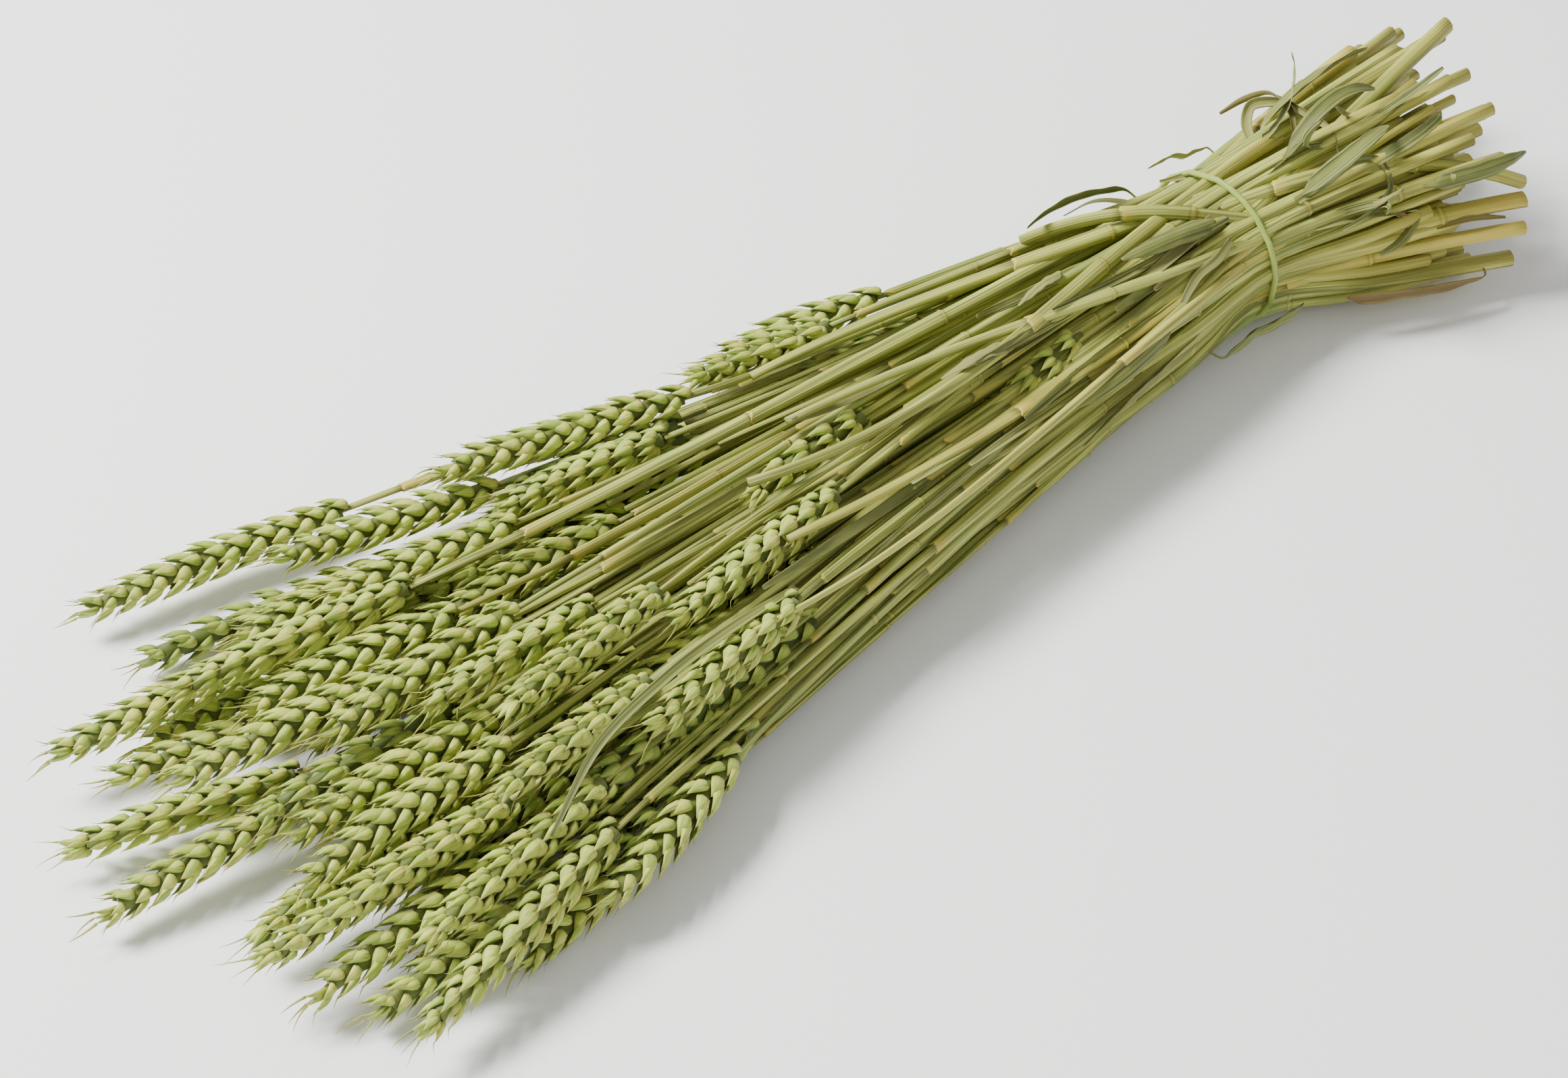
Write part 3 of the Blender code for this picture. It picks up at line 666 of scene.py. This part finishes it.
# %% [markdown]
# ## Dry leaves
# A wheat leaf is a long flat blade with a fold along its middle. Dry ones are thin, twisted and
# torn, and most of them show near the tie. A sheet with a Solidify modifier would do, but a flat
# tube has two faces and closed edges like the real one from the start, and it needs no modifier.

# %% One blade along a curve
BLADE_THICK = 0.3 * MM
BLADE_ROWS, BLADE_SIDES = 34, 10
NARROWEST = 0.5 * MM
WAVE, CREASE = 0.10, 0.07
YELLOW_MARGIN, YELLOW_SPREAD = 0.3, (-0.4, 0.5)
BROWN_SPREAD, BROWN_TIP, BROWN_FROM = (-0.6, 0.1), 0.6, 0.75


def make_leaf(points, across, widths, fold, draw, withered=0.0):
    """A blade through the given points, folded along its middle and a little wavy."""
    knots = np.arange(len(points), dtype=float)
    where = np.linspace(0, len(points) - 1, BLADE_ROWS)
    middle = smooth(knots, points, where)
    width = np.maximum(smooth(knots, widths[:, None], where)[:, 0], NARROWEST)
    ahead = unit(np.gradient(middle, axis=0))
    side = smooth(knots, across, where)
    side = unit(side - ahead * (side * ahead).sum(1)[:, None])
    face = np.cross(side, ahead)
    made, ring, angle = tube(BLADE_ROWS, BLADE_SIDES)
    over = np.sin(angle)
    start = draw.uniform(0, 6)
    wave = WAVE * np.sin(where[ring] * 1.7 + start + over * 1.5) * over ** 2
    crease = CREASE * np.sin(where[ring] * 4.3 + start) * np.cos(over * 4)
    lift = (fold * np.abs(over) + wave + crease) * width[ring] / 2 + np.cos(angle) * BLADE_THICK / 2
    narrow = math.cos(math.atan(fold))
    placed = (middle[ring] + side[ring] * (over * width[ring] / 2 * narrow)[:, None]
              + face[ring] * lift[:, None] * narrow)
    made.vertices.foreach_set("co", placed.ravel())
    along = np.concatenate(([0], np.cumsum(np.linalg.norm(np.diff(middle, axis=0), axis=1))))
    share = along[ring] / along[-1]
    yellow = YELLOW_MARGIN * (np.abs(over) > 0.9) + draw.uniform(*YELLOW_SPREAD)
    brown = withered + draw.uniform(*BROWN_SPREAD) + BROWN_TIP * np.maximum(share - BROWN_FROM, 0)
    look = np.column_stack((np.full(len(ring), draw.random()), np.clip(yellow, 0, 1),
                            np.clip(brown, 0, 1), np.zeros(len(ring))))
    layer = np.full(len(ring), draw.random() * LAYERS)
    return made, look, np.column_stack((along[ring], over * width[ring] / 2, layer))


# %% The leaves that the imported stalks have
# Leaves past BUTT_X, near the cut ends, are withered. A gap of more than 11 mm between two
# sections ends a leaf.
BUTT_X, WITHERED_AT_BUTT = 0.235, 0.6
SECTION_GAP = 11 * MM
FOLD = (0.35, 0.8)


def packed_leaves(stalk, draw):
    """The blades along the leaf sections that were read from one stalk."""
    cuts = stalk["leaf_cuts"]
    if not cuts:
        return []
    breaks = np.where(np.diff([cut[0, 0] for cut in cuts]) > SECTION_GAP)[0] + 1
    made = []
    for run in np.split(np.arange(len(cuts)), breaks):
        middles = np.array([cuts[k].mean(0) for k in run])
        spans = []
        for k in run:
            loose = cuts[k] - cuts[k].mean(0)
            span = np.linalg.svd(loose)[2][0] * np.linalg.norm(loose, axis=1).mean()
            spans.append(span if not spans or span @ spans[-1] > 0 else -span)
        spans = np.array(spans)
        on_straw = stalk["at"](middles[[0, -1], 0])
        far = np.linalg.norm(middles[[0, -1]] - on_straw, axis=1)
        if far[1] < far[0]:
            middles, spans = middles[::-1], spans[::-1]
        root = stalk["at"](middles[0, 0] + 0.5 * (middles[0, 0] - middles[1, 0]))
        middles = np.vstack((root, middles))
        spans = np.vstack((spans[0], spans))
        half = np.linalg.norm(spans, axis=1)
        withered = WITHERED_AT_BUTT if middles[0, 0] > BUTT_X else 0.0
        fold = draw.uniform(*FOLD)
        leaf = make_leaf(middles, spans / half[:, None], 2 * half, fold, draw, withered)
        made.append((leaf, blade))
    return made


# %% [markdown]
# ## From parts to pieces
# A piece is one mesh that carries its finishes and the two attributes. The bunch lies on a table,
# and whatever hangs lowest is pressed flat against it rather than pushed through it.

# %% Lying on the table
PRESSED = 2 * MM


def rest_on_table(data):
    """Presses what would dip into the table into the last two millimetres above it."""
    points = points_of(data)
    z = points[:, 2]
    points[:, 2] = np.where(z < PRESSED, PRESSED * np.exp(np.minimum(z / PRESSED - 1, 0)), z)
    data.vertices.foreach_set("co", points.ravel())


# %% Putting parts together as one piece
def as_piece(name, parts):
    """Joins meshes in one object. Each part is a mesh with its attributes, and its finish."""
    whole, looks, grains, marks = bmesh.new(), [], [], []
    finishes = []
    for (mesh, look, grain), finish in parts:
        whole.from_mesh(mesh)
        looks.append(look)
        grains.append(grain)
        if finish not in finishes:
            finishes.append(finish)
        marks += [finishes.index(finish)] * len(mesh.polygons)
        bpy.data.meshes.remove(mesh)
    bmesh.ops.recalc_face_normals(whole, faces=whole.faces)
    data = bpy.data.meshes.new(name)
    whole.to_mesh(data)
    whole.free()
    for finish in finishes:
        data.materials.append(finish)
    data.polygons.foreach_set("material_index", marks)
    rest_on_table(data)
    data.shade_smooth()
    colours = data.color_attributes.new("look", "FLOAT_COLOR", "POINT")
    colours.data.foreach_set("color", np.concatenate(looks).ravel())
    vectors = data.attributes.new("grain", "FLOAT_VECTOR", "POINT")
    vectors.data.foreach_set("vector", np.concatenate(grains).ravel())
    piece = add_object(name, data)
    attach(piece, "root")
    return piece


def triangles_in(piece):
    """How many triangles a piece has."""
    return sum(len(face.vertices) - 2 for face in piece.data.polygons)


# %% [markdown]
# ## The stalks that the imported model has
# Each packed stalk is replaced by one piece: its straw, its ear and the leaves that grow from it,
# joined in one mesh because they grew as one. The straw is about as thick at the cut as the solid
# is, and thins to two millimetres across at the neck. A seed for each stalk makes it differ from
# its neighbours and come out the same at every run.

# %% Every stalk with its ear
# The turns, in degrees, that show the ear from the side of its fans or as a plait, as the photo
# shows them on the stalks that can be told apart.
FAN_SEEN, FAN_OFF, PLAIT_SEEN, PLAIT_OFF = 37, 32, 127, 8
STALK_SEED, EAR_SEED = 100, 300
THICK_SPREAD, NECK_RADIUS, INTO_EAR = (0.88, 1.04), 1.05 * MM, 2 * MM
SEEN_AS_FANS = {3, 5, 9, 15, 18, 20, 23, 24, 25, 26, 27, 28, 29, 34, 37}


def ear_spin(number):
    """The turn of an ear by its stalk's number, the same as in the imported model."""
    if number in SEEN_AS_FANS:
        return math.radians(FAN_SEEN + (FAN_OFF if number % 2 else -FAN_OFF))
    return math.radians(PLAIT_SEEN + PLAIT_OFF * (number * 7 % 5 - 2))


triangles = 0
for number, (name, stalk) in enumerate(stalks.items()):
    draw = random.Random(STALK_SEED + number)
    length = float(np.linalg.norm(stalk["at"](stalk["neck"]) - stalk["at"](stalk["tip"])))
    ear = bend_ear(straight_ear(length, EAR_SEED + number), stalk, ear_spin(number + 1))
    thick = stalk["rings"][-1, 3] * draw.uniform(*THICK_SPREAD)
    body = make_straw(stalk["at"], stalk["cut"], stalk["neck"] - INTO_EAR, thick, NECK_RADIUS, draw)
    piece = as_piece(f"wheat_{name[-2:]}", [(body, straw), (ear, chaff)] + packed_leaves(stalk, draw))
    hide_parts(name)
    triangles += triangles_in(piece)
print("the stalks have", triangles, "triangles")

# %% [markdown]
# ## The stalks between
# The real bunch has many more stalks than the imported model's fifty-eight. How many can't be
# counted in the photograph, so a hundred and fifty is a guess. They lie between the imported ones, so
# each gets a line of its own as a weighted mean of two neighbours, and draws in at the tie as they
# do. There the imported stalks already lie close, so these straws run partly through them. Some of
# these stalks show their ears in the gaps, a little lower than the ears of their neighbours.

# %% Lines between two stalks
FILLERS = 150
FILLER_EARS = 36
NEAR = 11 * MM
STATION_COUNT = 24
# How often a line wanders sideways and up, in radians a metre; its least height at the cut, and
# how much more that is at its other end.
SIDE_WAVES, UP_WAVES = 16, 13
LOWEST, LOWEST_RISE = 2.2 * MM, 6 * MM


def line_between(one, other, share, start, end, sink, wander, draw):
    """A smooth line between two stalks from x = start to x = end, sinking towards its end."""
    x = np.linspace(end, start, STATION_COUNT)
    middle = share * one["at"](x) + (1 - share) * other["at"](x)
    phase = draw.uniform(0, 2 * math.pi)
    middle[:, 0] = x
    middle[:, 1] += wander * np.sin(x * SIDE_WAVES + phase)
    middle[:, 2] += wander * np.cos(x * UP_WAVES + phase)
    low = np.clip((start - x) / (start - end), 0, 1)
    middle[:, 2] = np.maximum(middle[:, 2] - sink * low ** 2, LOWEST_RISE * low + LOWEST)
    return smooth_line(middle)


PAIR_SEED = 7
TIE_X, MID_X = 0.165, 0.02
# Two stalks that are near at the tie may be this many times NEAR apart at MID_X.
FURTHER_OUT = 5
draw = random.Random(PAIR_SEED)
names = list(stalks)
pairs = []
for i, one in enumerate(names):
    for other in names[i + 1:]:
        apart = [np.linalg.norm(stalks[one]["at"](x) - stalks[other]["at"](x)) for x in (TIE_X, MID_X)]
        if apart[0] < NEAR and apart[1] < FURTHER_OUT * NEAR:
            pairs.append((draw.random() * apart[1], one, other))
pairs = [pair[1:] for pair in sorted(pairs, reverse=True)]
print(len(pairs), "pairs of neighbours")

# %% Filler straws and filler ears
# Two late ears never reached the others and show between the straws: points from neck to tip in
# mm, and length.
LATE_EARS = (
    (((84, -44, 47), (66, -46, 45), (50, -47, 43), (36, -48, 38)), 50),
    (((0, -27, 48), (-20, -27, 48), (-42, -27, 46), (-60, -28, 42)), 60),
)
FILLER_SEED, LATE_SEED = 600, 800
FILLER_STEP, LATE_STEP = 5.2 * MM, 4.6 * MM
# Drawn for each: the share of its first neighbour, then in mm how much shorter its cut is, its
# radius, its neck past the neighbours' tips, its ear's length, and how far a neck without an ear
# moves.
BETWEEN, CUT_SHORTER, RADIUS = (0.3, 0.7), (0, 24), (1.9, 2.8)
NECK_PAST_TIPS, EAR_REACH, NECK_MOVED = (75, 95), (68, 84), (-10, 15)
EAR_SINK, EAR_WANDER, STRAW_SINK, STRAW_WANDER = 9 * MM, 1.0 * MM, 4 * MM, 2.2 * MM
FILLER_NECK_RADIUS, FILLER_SIDES = 1.0 * MM, 7
# Ears in the gaps are drawn greener and a little darker: painted shade, as they lie deep between
# the others.
GAP_GREEN_AS_SHADE, GAP_SHADE = 0.35, 0.12
# The pairs are taken this many apart, so that the stalks with ears are spread over them.
PAIR_STRIDE = 7
bundle = []
for number in range(FILLERS):
    one, other = (stalks[name] for name in pairs[number * PAIR_STRIDE % min(len(pairs), FILLERS)])
    share = draw.uniform(*BETWEEN)
    cut = share * one["cut"] + (1 - share) * other["cut"] - draw.uniform(*CUT_SHORTER) * MM
    neck = max(one["neck"], other["neck"])
    thick = draw.uniform(*RADIUS) * MM
    if number < FILLER_EARS:
        neck = max(one["tip"], other["tip"]) + draw.uniform(*NECK_PAST_TIPS) * MM
        tip = neck - draw.uniform(*EAR_REACH) * MM
        at = line_between(one, other, share, cut, tip, EAR_SINK, EAR_WANDER, draw)
        stalk = {"at": at, "neck": neck, "tip": tip}
        length = float(np.linalg.norm(at(neck) - at(tip)))
        ear = straight_ear(length, FILLER_SEED + number, FILLER_STEP)
        ear = bend_ear(ear, stalk, draw.uniform(0, math.pi))
        ear[1][:, 3] += GAP_GREEN_AS_SHADE
        ear[1][:, 2] += GAP_SHADE
        bundle.append((ear, chaff))
    else:
        neck += draw.uniform(*NECK_MOVED) * MM
        at = line_between(one, other, share, cut, neck, STRAW_SINK, STRAW_WANDER, draw)
    body = make_straw(at, cut, neck, thick, FILLER_NECK_RADIUS, draw, FILLER_SIDES)
    bundle.append((body, straw))
for points, length in LATE_EARS:
    at = smooth_line(np.array(points, dtype=float)[::-1] * MM)
    stalk = {"at": at, "neck": points[0][0] * MM, "tip": points[-1][0] * MM}
    ear = straight_ear(length * MM, LATE_SEED + len(bundle), LATE_STEP)
    bundle.append((bend_ear(ear, stalk, math.radians(FAN_SEEN)), chaff))
print(len(bundle), "parts between the packed stalks")

# %% Three pieces of them, each under 200,000 triangles
# The stalks with ears come first, with two parts each: an ear and a straw.
with_ears = FILLER_EARS * 2
first = with_ears * 2 // 3
shared_out = {"a": bundle[:first], "b": bundle[first:with_ears], "c": bundle[with_ears:]}
for mark, part in shared_out.items():
    piece = as_piece(f"stalks_between_{mark}", part)
    triangles += triangles_in(piece)
    print(piece.name, "has", triangles_in(piece), "triangles")

# %% [markdown]
# ## Loose blades
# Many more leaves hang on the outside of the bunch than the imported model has. Most follow a straw
# and lift a little at one end, and near the tie some curl into loops. The first kind starts on the
# outermost straw in a given direction, so that none floats; the second kind has points of its own.

# %% Loose blades that follow a straw
# Root along x in mm, direction round the bunch in degrees, way along x, length and width in mm,
# rise at the root in degrees, curl in radians, and drift round the bunch in mm.
LOOSE_BLADES = (
    (205, 105, -1, 32, 4, 20, 2.6, 8), (198, 75, 1, 34, 4, 20, 1.6, -10),
    (214, 135, -1, 36, 5, 14, 3.4, 6), (176, 95, 1, 36, 4, 8, 0.6, -8),
    (244, 150, -1, 26, 4, 16, 1.4, -6), (226, 85, -1, 26, 4, 22, 1.8, 4),
    (170, 128, -1, 60, 5, 3, 0.2, 6), (140, 112, -1, 70, 4, 2, 0.1, -6),
    (120, 140, -1, 84, 5, 2, 0.15, 5), (96, 100, -1, 66, 4, 3, 0.2, 4),
    (84, 155, -1, 76, 4, 2, 0.1, -5), (60, 120, -1, 82, 5, 2, 0.15, 6),
    (36, 95, -1, 66, 4, 3, 0.2, -4), (40, 160, -1, 90, 5, 2, 0.1, 4),
    (12, 135, -1, 94, 4, 2, 0.1, -6), (-20, 110, -1, 60, 3, 3, 0.2, 5),
    (128, 170, -1, 70, 5, 2, 0.15, 6), (252, 100, -1, 36, 4, 6, -0.8, 8),
    (106, 75, -1, 56, 4, 3, 0.2, 5), (132, 146, -1, 66, 4, 2, 0.1, -4),
    (222, 160, 1, 28, 4, 8, 1.0, -6), (210, 120, 1, 34, 5, 16, 2.4, -4),
    (190, 138, 1, 28, 4, 18, 3.6, 4), (218, 100, 1, 34, 4, 8, 0.8, 6),
    (76, 128, -1, 80, 5, 2, 0.1, 5), (56, 145, -1, 70, 4, 2, 0.12, -5),
    (150, 122, -1, 58, 5, 3, 0.2, 4), (110, 120, 1, 44, 4, 3, 0.2, 3),
)


PAST_NECK, BEFORE_CUT, ASIDE = 15 * MM, 4 * MM, 0.8


def outermost(x, way):
    """The stalk that stands out furthest in the given direction at x, and its place there."""
    there = {name: stalk["at"](x)[0] for name, stalk in stalks.items()
             if stalk["neck"] + PAST_NECK < x < stalk["cut"] - BEFORE_CUT}
    middle = np.mean(list(there.values()), axis=0)
    across = np.array((0, -way[2], way[1]))

    def reach(name):
        off = there[name] - middle
        return off @ way - ASIDE * abs(off @ across)

    best = max(there, key=reach)
    return best, there[best]


BLADE_SHAPE = np.array([0.7, 0.9, 1, 1, 1, 1, 0.97, 0.92, 0.85, 0.7, 0.4])


def lay_blade(points, out, width, turns, fold, draw, withered=0.0):
    """A blade along points; it starts flat against the bunch and turns by so many radians."""
    ahead = unit(np.gradient(points, axis=0))
    side, spans = np.cross(ahead[0], out), []
    for k, way in enumerate(ahead):
        side = side - way * (side @ way)
        side /= np.linalg.norm(side)
        turned = turns[0] + (turns[1] - turns[0]) * k / (len(ahead) - 1)
        spans.append(side * math.cos(turned) + np.cross(way, side) * math.sin(turned))
    share = np.linspace(0, 1, len(points))
    widths = width * np.interp(share, np.linspace(0, 1, len(BLADE_SHAPE)), BLADE_SHAPE)
    return make_leaf(points, np.array(spans), widths, fold, draw, withered), blade


BLADE_SEED, STEPS = 21, 10
OFF_STRAW = 0.5 * MM
FOLLOW_FADE, CURL_FIRST, CURL_MORE = 0.5, 0.4, 1.2
LOOSE_TURNS, LOOSE_FOLD = ((-0.4, 0.4), (-1.6, 1.6)), (0.2, 0.9)
draw = random.Random(BLADE_SEED)
blades = []
for x, direction, along, length, width, rise, curl, drift in LOOSE_BLADES:
    out = np.array((0, math.cos(math.radians(direction)), math.sin(math.radians(direction))))
    name, foot = outermost(x * MM, out)
    round_it = np.array((0, -out[2], out[1]))
    place, heading, points = foot + out * OFF_STRAW, math.radians(rise), []
    step = length * MM / STEPS
    for k in range(STEPS + 1):
        share = k / STEPS
        points.append(place.copy())
        ahead = np.array((along * math.cos(heading), 0, 0)) + out * math.sin(heading)
        follow = stalks[name]["at"](place[0])[0] - stalks[name]["at"](place[0] - along * step)[0]
        follow[0] = 0
        sideways = round_it * drift * MM / STEPS * share
        place = place + ahead * step + sideways + follow * (1 - share * FOLLOW_FADE)
        heading += curl / STEPS * (CURL_FIRST + CURL_MORE * share)
    turns = [draw.uniform(*span) for span in LOOSE_TURNS]
    fold = draw.uniform(*LOOSE_FOLD)
    blades.append(lay_blade(np.array(points), out, width * MM, turns, fold, draw))
print(len(blades), "blades that follow their straws")

# %% Blades that the photo shows in a place of their own: points in mm, width in mm, withered
PLACED_BLADES = (
    (((194, -22, 53), (202, -10, 53), (210, -5, 56), (216, -14, 60), (213, -28, 64), (211, -42, 65),
      (200, -55, 64)), 5, 0.1),
    (((205, -30, 58), (212, -20, 61), (216, -8, 59), (212, 0, 54), (204, 4, 50)), 4, 0.3),
    (((180, -54, 56), (192, -56, 60), (204, -57, 63), (214, -60, 60), (212, -68, 54), (200, -70, 50),
      (190, -67, 46)), 4, 0.0),
    (((184, -60, 46), (196, -66, 47), (212, -71, 44), (222, -74, 40), (212, -77, 36),
      (202, -76, 34)), 5, 0.1),
    (((172, -18, 54), (165, -15, 53), (158, -9, 51)), 3, 0.6),
    (((152, -10, 42), (147, -2, 43), (139, 5, 43), (130, 10, 39)), 3, 0.3),
    (((-70, -68, 44), (-100, -70, 47), (-130, -74, 49), (-160, -79, 46), (-188, -90, 36)), 4, 0.0),
    (((158, -38, 55), (140, -43, 57), (112, -46, 55), (90, -42, 53), (72, -34, 50)), 5, 0.0),
    (((210, -58, 50), (218, -62, 50), (228, -65, 49), (238, -70, 45)), 3, 0.9),
    (((206, -62, 45), (212, -66, 45), (217, -72, 41), (224, -76, 36)), 3, 0.8),
    (((228, -80, 34), (240, -86, 35), (252, -92, 33)), 4, 0.5),
    (((150, -50, 53), (140, -53, 52), (128, -54, 50), (112, -60, 44)), 4, 0.0),
)
TOWARDS_CAMERA = np.array((0, -0.4, 0.9))
PLACED_TURNS, PLACED_FOLD = ((-0.3, 0.3), (-1.2, 1.2)), (0.4, 0.9)
for points, width, withered in PLACED_BLADES:
    points = np.array(points, dtype=float) * MM
    turns = [draw.uniform(*span) for span in PLACED_TURNS]
    fold = draw.uniform(*PLACED_FOLD)
    blades.append(lay_blade(points, TOWARDS_CAMERA, width * MM, turns, fold, draw, withered))
triangles += triangles_in(as_piece("loose_blades", blades))
print(len(blades), "loose blades in all")

# %% [markdown]
# ## Straws that lie across
# No real bunch is combed. A few straws lie on top at an angle to the rest, and these are what
# the eye catches at the tie and at the cut ends. Their lines were read from the photograph and
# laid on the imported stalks.

# %% Straws on top, points along their middle in mm from the ear side to the cut end, and ripeness
CROSSING = (
    (((60, -22, 44), (130, -30, 50), (165, -37, 54), (188, -47, 60), (212, -61, 59), (240, -73, 49),
      (266, -87, 40)), 0.1),
    (((20, -62, 38), (80, -62, 43), (133, -57, 46), (165, -48, 49), (198, -54, 57), (222, -57, 62),
      (246, -55, 64)), 0.0),
    (((70, -52, 44), (120, -50, 50), (165, -45, 51), (202, -44, 61), (240, -36, 65),
      (285, -32, 69)), 0.0),
    (((80, -10, 34), (165, -16, 43), (207, -10, 47), (235, -8, 52), (262, -8, 56)), 0.5),
    (((104, 5, 45), (118, -9, 54), (135, -27, 60), (150, -38, 58), (165, -46, 51),
      (190, -56, 46)), 0.0),
    (((-93, -75, 45), (-47, -72, 42), (14, -70, 42), (70, -67, 43), (117, -60, 46), (165, -53, 43),
      (200, -60, 40)), 0.2),
    (((-64, -58, 54), (-8, -55, 47), (36, -60, 45), (105, -57, 48), (165, -50, 46),
      (210, -52, 52)), 0.0),
    (((120, -60, 26), (165, -55, 24), (207, -69, 26), (230, -82, 28), (257, -97, 29)), 0.8),
    (((100, -58, 30), (165, -54, 30), (210, -68, 34), (240, -82, 37), (262, -92, 36)), 0.6),
    (((-30, -20, 58), (20, -28, 60), (80, -44, 58), (130, -50, 54), (165, -51, 47),
      (190, -54, 44)), 0.0),
    (((-60, -34, 60), (0, -46, 58), (60, -40, 60), (120, -30, 60), (165, -27, 53),
      (205, -22, 56)), 0.1),
    (((-10, 20, 40), (50, 4, 46), (110, -14, 54), (165, -32, 54), (215, -46, 62)), 0.0),
)
# Each line is a smooth arc of this order, pressed inwards for so far on both sides of the band.
ARC = 3
PRESS_REACH = 34 * MM
BAND_THICK = 2 * MM
band_points = point_groups("band")[0]
tie = band_points.mean(0)
print("the middle of the band is at", tie.round(3))


def under_band(line, thick):
    """Moves a line towards the middle of the tie, so that its straw passes inside the band."""
    here = np.array([np.interp(tie[0], line[:, 0], line[:, k]) for k in (1, 2)]) - tie[1:]
    out = here / np.linalg.norm(here)
    room = ((band_points[:, 1:] - tie[1:]) @ out).max() - BAND_THICK - thick
    push = min(room - np.linalg.norm(here), 0)
    near = np.exp(-((line[:, 0] - tie[0]) / PRESS_REACH) ** 2)
    line[:, 1:] += push * out * near[:, None]
    return line


# %% The straws that lie across
# One that starts before the middle of the bunch reaches up to the ears, so it thins more.
ACROSS_SEED, ACROSS_RADIUS, ACROSS_SIDES = 33, (2.2, 2.9), 10
SHORT_THINS, LONG_THINS = 0.85, 0.55
draw = random.Random(ACROSS_SEED)
across = []
for points, ripe in CROSSING:
    points = np.array(points, dtype=float) * MM
    x = np.linspace(points[0, 0], points[-1, 0], STATION_COUNT)
    bends = [np.polyval(np.polyfit(points[:, 0], points[:, k], ARC), x) for k in (1, 2)]
    thick = draw.uniform(*ACROSS_RADIUS) * MM
    at = smooth_line(under_band(np.column_stack((x, *bends)), thick))
    thin = thick * (SHORT_THINS if points[0, 0] > 0 else LONG_THINS)
    ends = points[-1, 0], points[0, 0]
    body = make_straw(at, *ends, thick, thin, draw, ACROSS_SIDES, ripe, plain=True)
    across.append((body, straw))
triangles += triangles_in(as_piece("straws_across", across))
print("the visual model has", triangles, "triangles and the band")

# %% [markdown]
# ## The tie
# The real tie is one thin elastic band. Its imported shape, a round cord on a closed loop, is already
# the real one, so it keeps its mesh and only gets its finish.

# %% Band
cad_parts["band"].data.materials.clear()
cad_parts["band"].data.materials.append(elastic)
print("the band is finished in", elastic.name)

# %% [markdown]
# ## Floor and light
# The photograph has a white ground and soft light from above and behind, which leaves the sides
# that face the camera a little darker. One large lamp and an even grey-white surround give that,
# and a weak lamp in front opens the shadows.

# %% Floor and light
FLOOR_HALF = 6
DAYLIGHT = 0.55
floor = bpy.data.meshes.new("floor")
sheet = bmesh.new()
bmesh.ops.create_grid(sheet, x_segments=1, y_segments=1, size=FLOOR_HALF)
sheet.to_mesh(floor)
sheet.free()
paper = plain_finish("white_paper", "#F2F2F0", 0.9)
floor.materials.append(paper)
ground = add_object("floor", floor)


def add_lamp(name, place, size, watts):
    """A square soft light that points at the bunch."""
    lamp = bpy.data.lights.new(name, "AREA")
    lamp.size, lamp.energy = size, watts
    lit = add_object(name, lamp)
    lit.location = place
    lit.rotation_euler = (Vector((0, 0, 0)) - Vector(place)).to_track_quat("-Z", "Y").to_euler()


add_lamp("key", (-0.85, 1.05, 1.75), 0.8, 134)
add_lamp("fill", (-0.9, -1.5, 1.2), 1.6, 10)
world = bpy.data.worlds.new("studio")
bpy.context.scene.world = world
world.use_nodes = True
world.node_tree.nodes["Background"].inputs["Color"].default_value = (1, 1, 1, 1)
world.node_tree.nodes["Background"].inputs["Strength"].default_value = DAYLIGHT
print("lamps:", [lamp.name for lamp in bpy.data.lights])
